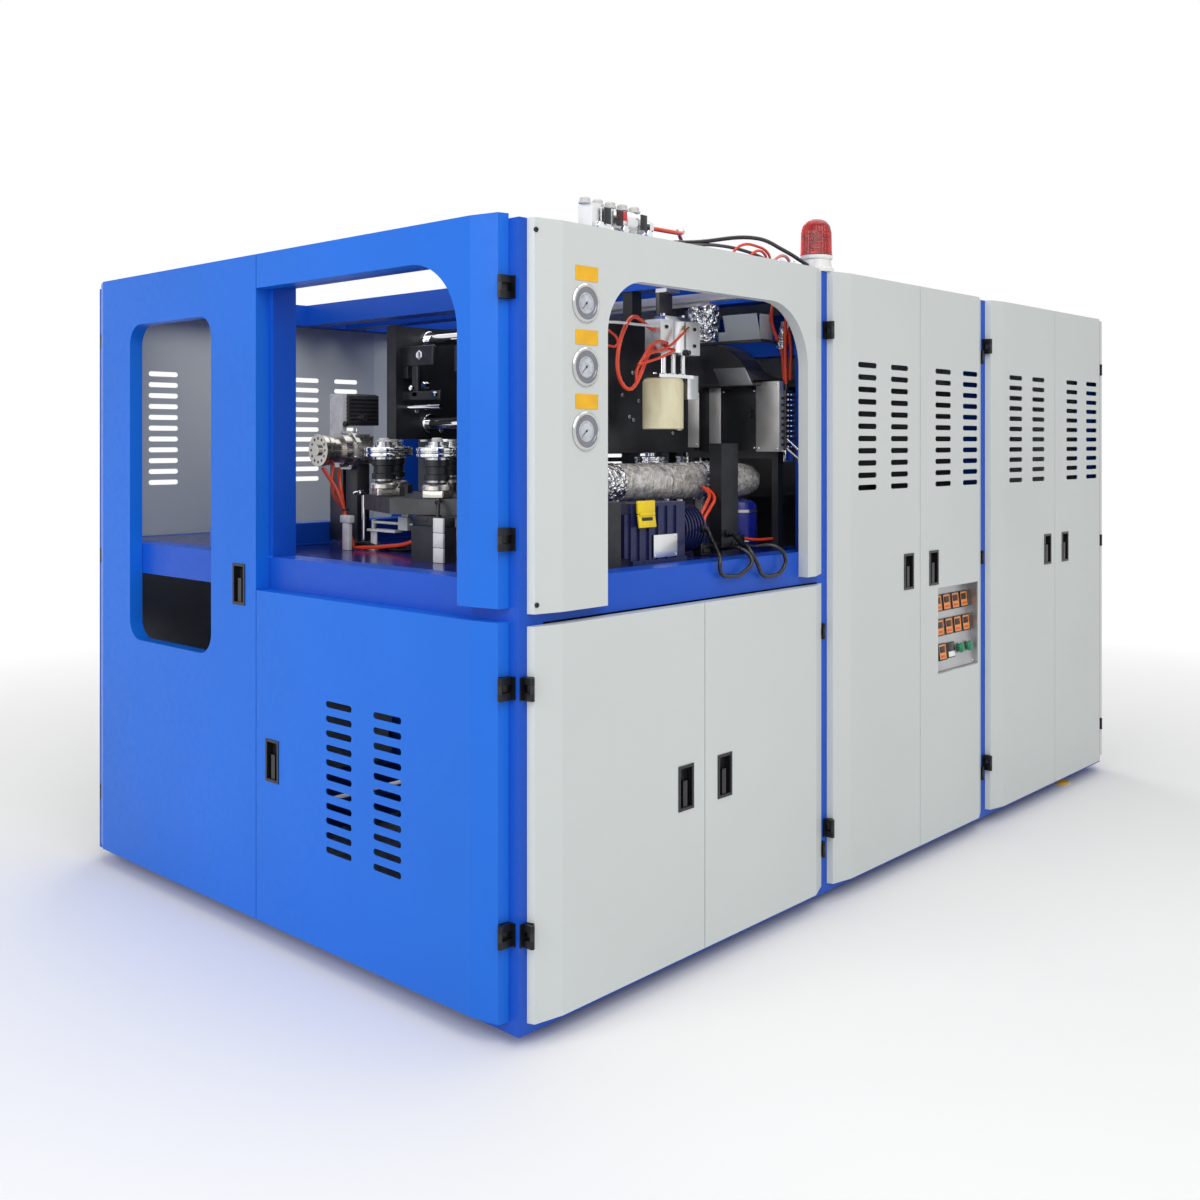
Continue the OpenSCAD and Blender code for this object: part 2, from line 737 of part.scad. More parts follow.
// Control console in the right door of the second bay
module at_console() {
  translate([2068, 14, 582]) rotate([-console_tilt, 0, 0]) children();
}
module console() {
  color(steel) difference() {
    union() {
      at_console() cube([304, 2.5, 298]);
      // Tray walls behind the window
      translate([2065.3, 3, 578.3]) cube([2.7, 60, 306.4]);
      translate([2372, 3, 578.3]) cube([2.7, 60, 306.4]);
      translate([2065.3, 3, 578.3]) cube([309.4, 60, 2.7]);
      translate([2065.3, 3, 882]) cube([309.4, 60, 2.7]);
      translate([2040, 2.8, 560]) cube([25.3, 2, 338]);
      translate([2374.7, 2.8, 560]) cube([1.6, 2, 343]);
      translate([2065.3, 62, 578.3]) cube([309.4, 2.5, 306.4]);
    }
    at_console() {
      for (c = [0:3]) for (r = [0:2])
        if (r > 0 || c < 1) translate([64 + c * ctl_pitch - 22, -5, 66 + r * 87 - 22]) cube([44, 12, 44]);
      for (c = [2, 3]) translate([64 + c * ctl_pitch, -5, 66]) rotate([-90, 0, 0]) cylinder(h = 12, r = 11.1);
    }
  }
}
module controllers() {
  color([0.93, 0.42, 0.06])
    at_console()
      for (c = [0:3]) for (r = [0:2])
        if (r > 0 || c < 1) translate([64 + c * ctl_pitch, 0, 66 + r * 87]) difference() {
          union() {
            translate([-ctl_w / 2, -5, -ctl_w / 2]) cube([ctl_w, 4.7, ctl_w]);
            translate([-21.6, -4, -21.6]) cube([43.2, 24, 43.2]);
          }
          translate([-21, -6, -2]) cube([42, 2.5, 21]);
        }
}
module button(c) {
  at_console() translate([64 + c * ctl_pitch, 0, 66]) rotate([90, 0, 0])
    rotate_extrude($fn = 40)
      polygon([[0, -16], [11, -16], [11, 6], [17, 6], [18.5, 9], [18, 13], [14, 17], [7, 19.5], [0, 20]]);
}
module button_square() {
  color([0.05, 0.55, 0.2]) button(2);
}
module button_round() {
  color([0.05, 0.55, 0.2]) button(3);
}

// Lifting cylinder: a guided body hung from the beam, with a carriage on three rods
rod_x = [cyl_x - 46, cyl_x, cyl_x + 46];
module guide_cylinder() {
  color(steel) {
    difference() {
      union() {
        translate([cyl_x - 93, cyl_y - 30, cyl_z]) cube([55, 60, cyl_h]);
        translate([cyl_x + 38, cyl_y - 30, cyl_z]) cube([55, 60, cyl_h]);
        translate([cyl_x - 39, cyl_y - 24, cyl_z]) cube([78, 54, cyl_h]);
        translate([cyl_x, cyl_y - 12, cyl_z + 4]) cylinder(h = cyl_h - 8, r = 30);
      }
      for (x = rod_x)
        translate([x, cyl_y, cyl_z - 5]) cylinder(h = cyl_h + 10, r = rod_r + rod_gap);
      for (x = [cyl_x - 66, cyl_x + 66])
        for (z = [cyl_z + 28, cyl_z + cyl_h - 22])
          translate([x, cyl_y - 31, z]) rotate([-90, 0, 0]) cylinder(h = 8, r = 6, $fn = 24);
    }
    // Hanger up to the beam
    translate([cyl_x - 28, cyl_y + 30, cyl_z + 20]) cube([60, 12, beam_z - cyl_z - 20]);
    translate([cyl_x - 30, cyl_y - 0, beam_z - 12]) cube([64, 42, 12]);
  }
}
module slide_carriage() {
  color([0.85, 0.87, 0.9]) {
    for (x = rod_x)
      translate([x, cyl_y, block_z + block_h + 6]) cylinder(h = cyl_z + cyl_h - block_z - block_h + 2, r = rod_r);
    difference() {
      translate([rod_x[0] - 14, cyl_y - 20, cyl_z + cyl_h + 0.5]) cube([rod_x[2] - rod_x[0] + 28, 40, 12]);
      translate([cyl_x, cyl_y, cyl_z + cyl_h + 9]) cylinder(h = 10, r = 4);
    }
    for (x = [rod_x[0], rod_x[2]])
      translate([x, cyl_y, cyl_z + cyl_h + 12]) cylinder(h = 9, r = 8);
    translate([block_x - 52, cyl_y - 30, block_z + block_h]) cube([cyl_x + 62 - block_x + 52, 60, 10]);
    translate([cyl_x + 46, cyl_y - 20, block_z + block_h - 62]) cube([52, 26, 63]);
    translate([cyl_x + 46, cyl_y - 20, block_z + block_h]) cube([52, 26, 10]);
  }
}
module nylon_block() {
  color([0.95, 0.91, 0.76])
    translate([block_x, cyl_y, block_z]) rotate_extrude($fn = 80)
      polygon([[0, 0], [block_r - 2, 0], [block_r, 2], [block_r, block_h - 14], [block_r - 4, block_h - 4],
        [block_r - 14, block_h], [0, block_h]]);
}

// Clamp: two fixed plates hung from the beams, four tie bars and a sliding platen
clamp_x0 = 420;
clamp_x1 = 1130;
clamp_z0 = 1412;
clamp_z1 = beam_z - 98;
near_y = 385;
far_y = 980;
platen_y = 660;
tie_x = [clamp_x0 + 60, clamp_x1 - 60];
tie_z = [clamp_z0 + 50, clamp_z1 - 40];
module clamp_plates() {
  color(black)
    for (y = [near_y, far_y]) {
      difference() {
        translate([clamp_x0 + (y == near_y ? 90 : 0), y, clamp_z0 - (y == near_y ? 42 : 0)])
          cube([clamp_x1 - clamp_x0 - (y == near_y ? 90 : 0), plate_t, clamp_z1 - clamp_z0 + (y == near_y ? 42 : 0)]);
        for (x = [clamp_x0 + 130, clamp_x1 - 60]) for (z = tie_z)
          translate([x, y - 5, z]) rotate([-90, 0, 0]) cylinder(h = plate_t + 10, r = tie_r);
      }
      for (x = [862, 1075])
        translate([x, y + 4, clamp_z1 - 1]) cube([44, plate_t - 8, beam_z - clamp_z1 + 1]);
    }
}
module tie_bars() {
  color(steel)
    for (x = [clamp_x0 + 130, clamp_x1 - 60]) for (z = tie_z)
      translate([x, near_y - 16, z]) rotate([-90, 0, 0]) {
        translate([0, 0, 16]) cylinder(h = far_y + plate_t - near_y, r = tie_r);
        cylinder(h = 16, r = tie_r + 8, $fn = 6);
      }
}
module moving_platen() {
  color(black) {
    difference() {
      translate([clamp_x0 + 60, platen_y, clamp_z0 + 10]) cube([clamp_x1 - clamp_x0 - 70, plate_t, clamp_z1 - clamp_z0 - 10]);
      for (x = [clamp_x0 + 130, clamp_x1 - 60]) for (z = tie_z)
        translate([x, platen_y - 5, z]) rotate([-90, 0, 0]) cylinder(h = plate_t + 10, r = tie_r + 0.08);
    }
    // Side arm with its bolts
    difference() {
      translate([clamp_x0 + 40, platen_y - 110, 1616]) cube([22, 200, 78]);
      for (y = [platen_y - 90, platen_y + 70])
        translate([clamp_x0 + 39, y, 1655]) rotate([0, 90, 0]) cylinder(h = 6, r = 11, $fn = 24);
    }
    translate([760, platen_y + plate_t - 1, 1500]) cube([180, 40, 180]);
  }
}

// Transfer table: an octagonal plate that turns on a column and carries the stations
module transfer_table() {
  color(black)
    translate([table_x, table_y, table_z - table_t]) difference() {
      union() {
        cylinder(h = table_t, r = table_r, $fn = 8);
        translate([0, 0, table_t - 1]) cylinder(h = 34, r = 90);
        for (i = [0:stations - 1])
          rotate([0, 0, 22.5 + i * 45]) translate([station_r, 0, table_t - 1]) {
            cylinder(h = 48, r = 27);
            translate([-60, -16, 0]) cube([46, 32, 30]);
          }
      }
      translate([0, 0, -1]) cylinder(h = 40, r = 40.08);
      for (i = [0:stations - 1])
        rotate([0, 0, i * 45]) translate([table_r - 60, 0, table_t - 6]) cylinder(h = 8, r = 11, $fn = 24);
    }
}
module station_discs() {
  color([0.85, 0.86, 0.88])
    for (i = [0:stations - 1])
      translate([table_x, table_y, table_z]) rotate([0, 0, 22.5 + i * 45]) translate([station_r, 0, 0])
        rotate_extrude($fn = 64)
          polygon([[0, 47], [12, 47], [12, 90], [20, 90], [20, 104], [36, 104], [36, 120], [57, 120],
            [disc_r, 122], [disc_r, 128], [55, 130], [55, 132], [disc_r, 134], [disc_r, 138], [55, 140],
            [55, 142], [disc_r, 144], [disc_r, 148], [57, 150], [34, 150], [34, 156], [26, 156],
            [26, 166], [18, 166], [18, 154], [0, 154]]);
}
module table_hub() {
  color(black) {
    translate([table_x, table_y, bed_top]) {
      cylinder(h = 18, r = 150);
      cylinder(h = table_z - table_t - bed_top - 0.3, r = 92);
      cylinder(h = table_z - table_t - bed_top + 37, r = 40);
    }
    // Columns that stand on the bed beside the table
    translate([470, 130, bed_top]) cube([49, 46, 176]);
    translate([1010, 160, bed_top]) cube([84, 46, 336]);
    translate([262, 560, bed_top]) cube([40, 150, 100]);
  }
}

// Drive unit in front of the table: a ribbed housing with a motor and a yellow isolator
module drive_unit() {
  color([0.10, 0.13, 0.30]) {
    difference() {
      union() {
        translate([560, 130, bed_top]) cube([236, 150, 170]);
        translate([540, 136, bed_top + 20]) cube([20, 138, 120]);
        for (i = [0:4]) translate([590 + i * 40, 124, bed_top + 10]) cube([10, 10, 150]);
        translate([796, 205, bed_top + 85]) rotate([0, 90, 0]) cylinder(h = 120, r = 62);
        for (i = [0:6])
          translate([812 + i * 14, 205, bed_top + 85]) rotate([0, 90, 0]) cylinder(h = 6, r = 70);
        translate([560, 122, bed_top]) cube([236, 10, 12]);
      }
      for (x = [575, 780])
        translate([x, 127, bed_top - 1]) cylinder(h = 14, r = 4, $fn = 16);
    }
  }
}

// Mouth of the oven: the plates, boxes and lamp ends beside the post
module oven_end() {
  color(steel) {
    difference() {
      translate([1262, 441, 1383]) cube([60, 81, 185]);
      for (z = [1410, 1540]) translate([1261, 470, z]) rotate([0, 90, 0]) cylinder(h = 20, r = 9, $fn = 24);
    }
    translate([1270, 362, 1370]) cube([62, 79.1, 212]);
    translate([1276, 217, 1371]) cube([56, 145.1, 206]);
    translate([1268, 144, 1371]) cube([64, 73.1, 225]);
    // Knobs on the black plate
    for (y = [[240, 1504], [240, 1488]])
      translate([1262, y[0], y[1]]) rotate([0, 90, 0]) cylinder(h = 15, r = 7, $fn = 24);
    // Lamp ends in their rack
    translate([1290, 118, 1377]) cube([42, 26.1, 190]);
    for (i = [0:7]) translate([1276, 131, 1394 + i * 21]) rotate([0, 90, 0]) cylinder(h = 15, r = 6.5, $fn = 24);
    // Legs down to the bed
    for (y = [160, 500]) translate([1290, y - 12, bed_top]) cube([30, 24, 1384 - bed_top]);
    translate([1290, 148, 1350]) cube([30, 364, 24]);
  }
}
module hot_air_hood() {
  color([0.32, 0.34, 0.36]) {
    difference() {
      translate([1236, 0, 0]) rotate([90, 0, 90]) linear_extrude(96)
        polygon([[175, 1600], [218, 1600], [222, 1582.5], [440, 1582.5], [470, 1600], [520, 1640], [520, 1690], [495, 1716],
          [455, 1727], [399, 1727], [345, 1716], [300, 1697], [260, 1668], [230, 1632]]);
      translate([1284, 440, 1722]) cylinder(h = 10, r = 40);
    }
    // Corrugated foil duct up to the blower
    translate([1284, 440, 1719]) rotate_extrude($fn = 40)
      polygon(concat([[0, 0]], [for (i = [0:9]) each [[46, i * 14], [50, i * 14 + 5], [50, i * 14 + 9], [46, i * 14 + 14]]], [[0, 140]]));
  }
}
// Lamp banks behind the doors of the second and third bay
bank_x = 1440;
bank_l = overall_l - 320 - bank_x;
bank_z = 1240;
floor_z = tube - frame_drop;
module oven_bank() {
  color(steel) {
    for (y = [420, 720]) {
      translate([bank_x, y, bank_z]) cube([bank_l, 26, 340]);
      for (i = [0:8]) translate([bank_x + 40 + i * 210, y + (y == 420 ? 26 : -34), 1290]) cube([120, 34, 250]);
      for (i = [0:3]) translate([bank_x + 20 + i * (bank_l - 80) / 4, y + 1, floor_z])
        cube([40, 24, bank_z - floor_z - seat]);
      translate([bank_x + bank_l - 60, y + 1, floor_z]) cube([40, 24, bank_z - floor_z - seat]);
    }
    translate([bank_x, 446, bank_z - 30]) cube([bank_l, 274, 30]);
    translate([1120, 545, bank_z - 30]) cube([bank_x - 1119, 80, 30]);
    translate([bank_x, 420, 1600]) cube([bank_l, 326, 30]);
    for (i = [0:2]) translate([bank_x + 20 + i * (bank_l - 100) / 2, 421, 1579]) cube([40, 324, 24]);
    // Cabinets that stand on the floor of the second and third bay
    for (c = [[overall_l - 1020, 1300, 800, 420, 1500], [1600, 1300, 620, 520, 900]])
      difference() {
        translate([c[0], c[1], floor_z]) cube([c[2], c[3], c[4]]);
        translate([c[0] + 3, c[1] + 3, floor_z - 1]) cube([c[2] - 6, c[3] - 6, c[4] - 2]);
      }
  }
}
module oven_spindles() {
  color([0.85, 0.86, 0.88])
    for (i = [0:8])
      translate([1182 + i * 218, 585, 0]) rotate_extrude($fn = 48)
        polygon([[0, 1240.3], [14, 1240.3], [14, 1300], [26, 1300], [26, 1318], [50, 1318], [disc_r - 4, 1322],
          [disc_r - 4, 1327], [52, 1329], [52, 1332], [disc_r - 4, 1335], [disc_r - 4, 1340], [52, 1342],
          [52, 1345], [disc_r - 4, 1348], [disc_r - 4, 1353], [50, 1356], [20, 1356], [20, 1366], [0, 1366]]);
}

// Air duct in bubble wrap across the front of the bay
duct_y = 300;
duct_z = bed_top + 221;
duct_r = 54;
module wrapped_duct() {
  color([0.75, 0.76, 0.77]) {
    translate([600, duct_y, duct_z]) rotate([0, 90, 0]) rotate_extrude($fn = 64)
      polygon([[0, 0], [50, 0], [53, 6], [52, 120], [duct_r, 240], [52, 360], [duct_r, 480], [52, 590], [46, 614],
        [38, 622], [0, 622]]);
    translate([1204, duct_y - 6, duct_z - 4]) rotate([0, 90, 0]) cylinder(h = 78, r = 47);
    for (x = [835, 1075]) translate([x, duct_y - 12, bed_top]) cube([10, 24, duct_z - duct_r - bed_top - seat]);
  }
}

// Rotary chuck and its ribbed motor on a pedestal
chuck_x = 330;
chuck_y = 1266;
chuck_z = 1376;
module rotary_chuck() {
  color([0.70, 0.72, 0.74]) {
    difference() {
      union() {
        translate([chuck_x, chuck_y, chuck_z]) rotate([0, 90, 0]) {
          cylinder(h = 16, r = 52);
          translate([0, 0, 16]) cylinder(h = 8, r = 40);
          translate([0, 0, 24]) cylinder(h = 16, r = 48);
          translate([0, 0, 40]) cylinder(h = 34, r = 42);
          translate([0, 0, 74]) cylinder(h = 34, r = 56);
          translate([0, 0, -10]) cylinder(h = 12, r = 18);
        }
        translate([chuck_x + 108, chuck_y, chuck_z]) rotate([0, 90, 0]) rotate([0, 0, 22.5]) cylinder(h = 18, r = 68, $fn = 8);
        translate([chuck_x + 118, chuck_y - 45, chuck_z - 45]) cube([68, 90, 90]);
        // Pedestal
        translate([chuck_x + 132, chuck_y - 30, bed_top]) cube([48, 60, chuck_z - bed_top]);
        translate([chuck_x + 110, chuck_y - 60, bed_top]) cube([92, 120, 14]);
        // Motor bracket and ribbed motor
        translate([chuck_x + 129, chuck_y + 44, bed_top]) cube([14, 70, 500]);
        translate([chuck_x + 142, chuck_y + 40, 1463]) cube([128, 80, 92]);
        for (i = [0:7])
          translate([chuck_x + 152 + i * 14, chuck_y + 36, 1459]) cube([6, 88, 100]);
        translate([chuck_x + 204, chuck_y + 46, 1484]) rotate([90, 0, 0]) cylinder(h = 28, r = 12);
      }
      for (i = [0:11])
        rotate_about(chuck_x, chuck_y, chuck_z, i * 30) translate([-1, 38, 0]) rotate([0, 90, 0]) cylinder(h = 7, r = 4.5, $fn = 16);
    }
  }
}
module rotate_about(x, y, z, a) {
  translate([x, y, z]) rotate([a, 0, 0]) children();
}

// Valve and short cylinder on the top beam above the gauges
module top_valves() {
  color([0.75, 0.76, 0.78]) {
    translate([300, 40, post_top]) cube([260, 70, 8]);
    translate([318, 50, post_top + 8]) cube([34, 50, 66]);
    translate([352, 48, post_top + 8]) cube([46, 54, 58]);
    translate([398, 75, post_top + 42]) rotate([0, 90, 0]) cylinder(h = 52, r = 27);
    translate([450, 75, post_top + 42]) rotate([0, 90, 0]) cylinder(h = 44, r = 32);
    translate([494, 75, post_top + 42]) rotate([0, 90, 0]) cylinder(h = 20, r = 14);
    translate([514, 75, post_top + 42]) rotate([0, 90, 0]) cylinder(h = 26, r = 24, $fn = 6);
    translate([420, 66, post_top + 7]) cube([20, 18, 12]);
    translate([462, 66, post_top + 7]) cube([20, 18, 10]);
    // Rail under the second beam, with its end block
    translate([1043, front_d + tube + 4, beam_z - 26]) cube([24, 900, 26]);
  }
}

// Cords: each is one tube swept through points chosen by hand
function cord_ring(p, q, r, n) =
  let (d = q - p, l = norm(d), t = d / l, a = abs(t[2]) > 0.9 ? [1, 0, 0] : [0, 0, 1],
    u = cross(t, a) / norm(cross(t, a)), v = cross(t, u))
  [for (i = [0:n - 1]) r * (cos(i * 360 / n) * u + sin(i * 360 / n) * v)];
function bez(p, k) = let (a = p[0], b = p[1], c = p[2], d = p[3])
  a * pow(1 - k, 3) + 3 * b * k * pow(1 - k, 2) + 3 * c * k * k * (1 - k) + d * pow(k, 3);
function between(p, i, k) =
  let (m = len(p) - 1, a = p[max(0, i - 1)], b = p[i], c = p[i + 1], d = p[min(m, i + 2)])
  (2 * b + (c - a) * k + (2 * a - 5 * b + 4 * c - d) * k * k + (3 * b - a - 3 * c + d) * k * k * k) / 2;
module tube_along(path, r) {
  n = 8;
  steps = len(path) - 1;
  rings = [for (i = [0:steps])
    let (a = path[max(0, i - 1)], b = path[min(steps, i + 1)], ring = cord_ring(a, b, r, n))
    for (v = ring) path[i] + v];
  faces = concat(
    [[for (j = [0:n - 1]) j]],
    [for (i = [0:steps - 1]) for (j = [0:n - 1])
      [i * n + j, (i + 1) * n + j, (i + 1) * n + (j + 1) % n, i * n + (j + 1) % n]],
    [[for (j = [n - 1:-1:0]) steps * n + j]]);
  polyhedron(points = rings, faces = faces, convexity = 6);
}
module cord(p, r, steps) {
  tube_along([for (i = [0:steps]) bez(p, i / steps)], r);
}
module routed(p, r, each_step) {
  m = len(p) - 1;
  tube_along(concat([for (i = [0:m - 1]) for (k = [0:each_step - 1]) between(p, i, k / each_step)], [p[m]]), r);
}
// Air hoses over the bay, at the lifting cylinder, beside the oven mouth and under the chuck
hose_r = 6;
module air_hoses() {
  color([0.95, 0.30, 0.10]) {
    cord([[540.8, 75, 1985], [700, 76, 1987], [900, 260, 2120], [1083, 330, post_top + 4.9]], hose_r, 14);
    cord([[793.8, 250, 1735], [660, 225, 1750], [640, 225, 1560], [790.8, 245, 1686]], hose_r, 12);
    cord([[1285, 95, 1861.5], [1278, 110, 1780], [1305, 131, 1680], [1311, 131, 1567.4]], hose_r, 8);
    cord([[388, chuck_y, 1331.8], [370, 1240, 1240], [380, 1200, 1180], [380, 1200, bed_top + 0.3]], hose_r, 8);
  }
}
// Cables: two loops that hang over the edge of the bed, and one on the top beam
cable_r = 6;
module cables() {
  color(black) {
    routed([[885, 134.2, 1147], [884, 118, 1145], [874, 96, 1124], [846, 56, 1098], [818, 20, 1068], [820, 18, 1032],
      [868, 18, 1018], [928, 18, 1024], [966, 16, 1058], [954, 48, 1090], [955, 112, 1086], [972, 168, 1089],
      [990, 182, 1092], [1009.2, 182, 1092]], cable_r, 4);
    routed([[1036, 159.2, 1124], [1036, 142, 1123], [1016, 92, 1100], [978, 38, 1092], [988, 16, 1052], [1020, 17, 1012],
      [1070, 17, 1004], [1122, 17, 1016], [1138, 16, 1052], [1110, 34, 1088], [1076, 92, 1086], [1068, 142, 1088],
      [1068, 159.2, 1088]], cable_r, 4);
    cord([[575, 100, 1949.1], [800, 100, 2030], [1050, 60, 2050], [1350.2, 78, 1965]], cable_r, 12);
  }
}

at_machine() frame_posts();
at_machine() frame_beams_x();
at_machine() frame_beams_y();
at_machine() bed_plate();
at_machine() roof_sheets();
at_machine() front_upper_panel();
at_machine() rear_panels();
at_machine() end_panel();
at_machine() levelling_feet();
at_machine() hinge_leaves();
at_machine() door_end_tall();
at_machine() fit_end_tall();
at_machine() door_end_upper();
at_machine() fit_end_upper();
at_machine() door_end_lower();
at_machine() fit_end_lower();
at_machine() door_front_left();
at_machine() fit_front_left();
at_machine() door_front_right();
at_machine() fit_front_right();
at_machine() door_m2_left();
at_machine() fit_m2_left();
at_machine() door_m2_right();
at_machine() fit_m2_right();
at_machine() door_m3_left();
at_machine() fit_m3_left();
at_machine() door_m3_right();
at_machine() fit_m3_right();
at_machine() door_rear_left();
at_machine() fit_rear_left();
at_machine() door_rear_right();
at_machine() fit_rear_right();
at_machine() gauges();
at_machine() gauge_labels();
at_machine() beacon_base();
at_machine() beacon_lens();
at_machine() beacon_reflector();
at_machine() console();
at_machine() controllers();
at_machine() button_square();
at_machine() button_round();
at_machine() guide_cylinder();
at_machine() slide_carriage();
at_machine() nylon_block();
at_machine() clamp_plates();
at_machine() tie_bars();
at_machine() moving_platen();
at_machine() transfer_table();
at_machine() station_discs();
at_machine() table_hub();
at_machine() drive_unit();
at_machine() oven_end();
at_machine() oven_bank();
at_machine() oven_spindles();
at_machine() hot_air_hood();
at_machine() wrapped_duct();
at_machine() rotary_chuck();
at_machine() top_valves();
at_machine() air_hoses();
at_machine() cables();
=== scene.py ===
# Blow moulding machine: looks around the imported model
import bpy
import math
from mathutils import Matrix, Vector, noise


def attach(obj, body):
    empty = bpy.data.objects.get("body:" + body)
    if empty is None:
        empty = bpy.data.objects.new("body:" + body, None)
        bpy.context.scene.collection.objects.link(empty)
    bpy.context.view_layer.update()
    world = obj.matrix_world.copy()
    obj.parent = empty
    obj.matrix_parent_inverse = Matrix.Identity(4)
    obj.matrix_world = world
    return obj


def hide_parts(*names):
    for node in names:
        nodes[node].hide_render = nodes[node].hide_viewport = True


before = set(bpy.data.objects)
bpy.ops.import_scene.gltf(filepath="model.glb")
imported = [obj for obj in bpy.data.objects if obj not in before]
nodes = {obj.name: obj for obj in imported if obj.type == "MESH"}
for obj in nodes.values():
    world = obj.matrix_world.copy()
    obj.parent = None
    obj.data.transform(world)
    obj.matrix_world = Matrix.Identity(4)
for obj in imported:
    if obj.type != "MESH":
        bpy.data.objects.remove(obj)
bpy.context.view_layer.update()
print("stage: frame loaded,", len(nodes), "nodes")

# The machine's own axes, in millimetres: X runs along the grey front from the near corner, Y inwards
# and Z up from the doors' foot. onBed and onBeam are a hair above the bed plate and the roof beam
machine = {"centreX": 1828.75, "centreY": 1103.25, "footHeight": 60.0, "onBed": 1062.4, "onBeam": 1943.4}

# Where the axis of a turned shape points
facesUp = (0, 0, 0)
facesFront = (90, 0, 0)
facesEnd = (0, -90, 0)
facesFar = (0, 90, 0)

# How finely shapes are made: metres between doubles, steps between a hose's points, degrees still smooth
fine = {"doubles": 0.00001, "hoseSteps": 10, "hoseAngle": 60, "blockAngle": 35, "turnedAngle": 30}


def at(x, y, z):
    return Vector((x - machine["centreX"], y - machine["centreY"], z + machine["footHeight"])) / 1000


# Small tools for modelling
def clearPick():
    if bpy.context.object is not None and bpy.context.object.mode != "OBJECT":
        bpy.ops.object.mode_set(mode="OBJECT")
    bpy.ops.object.select_all(action="DESELECT")


def pick(piece):
    clearPick()
    piece.select_set(True)
    bpy.context.view_layer.objects.active = piece
    return piece


def settle(piece):
    pick(piece)
    bpy.ops.object.transform_apply(location=True, rotation=True, scale=True)
    return piece


def apply(piece, kind, **settings):
    pick(piece)
    modifier = piece.modifiers.new(kind.title(), kind)
    for key, value in settings.items():
        setattr(modifier, key, value)
    bpy.ops.object.modifier_apply(modifier=modifier.name)
    return piece


def smooth(piece, angle=fine["blockAngle"]):
    pick(piece)
    bpy.ops.object.shade_smooth_by_angle(angle=math.radians(angle))
    return piece


def block(low, high, edge=1.0, steps=2):
    # A block between two corners, with its edges eased
    bpy.ops.mesh.primitive_cube_add(size=1, location=(at(*low) + at(*high)) / 2)
    piece = bpy.context.object
    piece.scale = [(b - a) / 1000 for a, b in zip(low, high)]
    settle(piece)
    if edge:
        apply(piece, "BEVEL", width=edge / 1000, segments=steps, limit_method="ANGLE")
    return smooth(piece)


def blocks(rows):
    # Each row is the low corner, the high corner, the eased edge and its steps
    return [block(*row) for row in rows]


def turned(profile, place, turn=facesUp, steps=48, angle=fine["turnedAngle"]):
    # A lathe shape: the profile is radius and height, drawn point by point and spun round the height
    bpy.ops.mesh.primitive_plane_add(size=0.01, location=(0, 0, 0))
    piece = bpy.context.object
    bpy.ops.object.mode_set(mode="EDIT")
    bpy.ops.mesh.select_mode(type="VERT")
    bpy.ops.mesh.select_all(action="SELECT")
    bpy.ops.mesh.merge(type="CENTER")
    first = profile[0]
    bpy.ops.transform.translate(value=(first[0] / 1000, 0, first[1] / 1000))
    for before, after in zip(profile, profile[1:]):
        step = ((after[0] - before[0]) / 1000, 0, (after[1] - before[1]) / 1000)
        bpy.ops.mesh.extrude_region_move(TRANSFORM_OT_translate={"value": step})
    bpy.ops.mesh.select_all(action="SELECT")
    bpy.ops.mesh.spin(steps=steps, angle=2 * math.pi, center=(0, 0, 0), axis=(0, 0, 1))
    bpy.ops.mesh.select_all(action="SELECT")
    bpy.ops.mesh.remove_doubles(threshold=fine["doubles"])
    bpy.ops.mesh.normals_make_consistent(inside=False)
    bpy.ops.object.mode_set(mode="OBJECT")
    piece.rotation_euler = [math.radians(a) for a in turn]
    piece.location = at(*place)
    settle(piece)
    return smooth(piece, angle)


def nut(profile, place, turn=facesUp):
    # A lathe shape with six flats
    return turned(profile, place, turn, steps=6, angle=20)


def hoseAlong(points, radius, sides=8):
    # A round hose through its points, as a curve made a mesh
    bpy.ops.curve.primitive_bezier_curve_add(location=(0, 0, 0))
    line = bpy.context.object
    spline = line.data.splines[0]
    spline.bezier_points.add(len(points) - 2)
    for knot, point in zip(spline.bezier_points, points):
        knot.co = at(*point)
        knot.handle_left_type = "AUTO"
        knot.handle_right_type = "AUTO"
    line.data.resolution_u = fine["hoseSteps"]
    line.data.bevel_depth = radius / 1000
    line.data.bevel_resolution = max(1, sides // 2 - 2)
    line.data.use_fill_caps = True
    pick(line)
    bpy.ops.object.convert(target="MESH")
    return smooth(bpy.context.object, fine["hoseAngle"])


def copyOf(piece):
    # A copy with its own mesh
    pick(piece)
    bpy.ops.object.duplicate(linked=False)
    return bpy.context.object


def turnAbout(piece, place, axis, degrees):
    centre = at(*place)
    piece.data.transform(Matrix.Translation(centre) @ Matrix.Rotation(math.radians(degrees), 4, axis)
                         @ Matrix.Translation(-centre))
    return piece


def joined(parts):
    clearPick()
    for part in parts:
        part.select_set(True)
    bpy.context.view_layer.objects.active = parts[0]
    bpy.ops.object.join()
    return bpy.context.object


def finishPiece(parts, name, material, body="frame", stands=()):
    # Joins the parts, and gives the piece its name, its finish and the body that it rides on
    piece = joined(parts) if isinstance(parts, list) else parts
    piece.name = name
    piece.data.name = name
    piece.data.materials.clear()
    piece.data.materials.append(material)
    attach(piece, body)
    if stands:
        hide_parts(*stands)
    return piece


# Materials: each is a small tree of nodes on the object's own coordinates
def linearChannel(value):
    share = value / 255
    if share <= 0.04045:
        return share / 12.92
    return ((share + 0.055) / 1.055) ** 2.4


def linear(r, g, b):
    # A screen colour of 0 to 255 as the shader's own, which is linear
    return tuple(linearChannel(value) for value in (r, g, b))


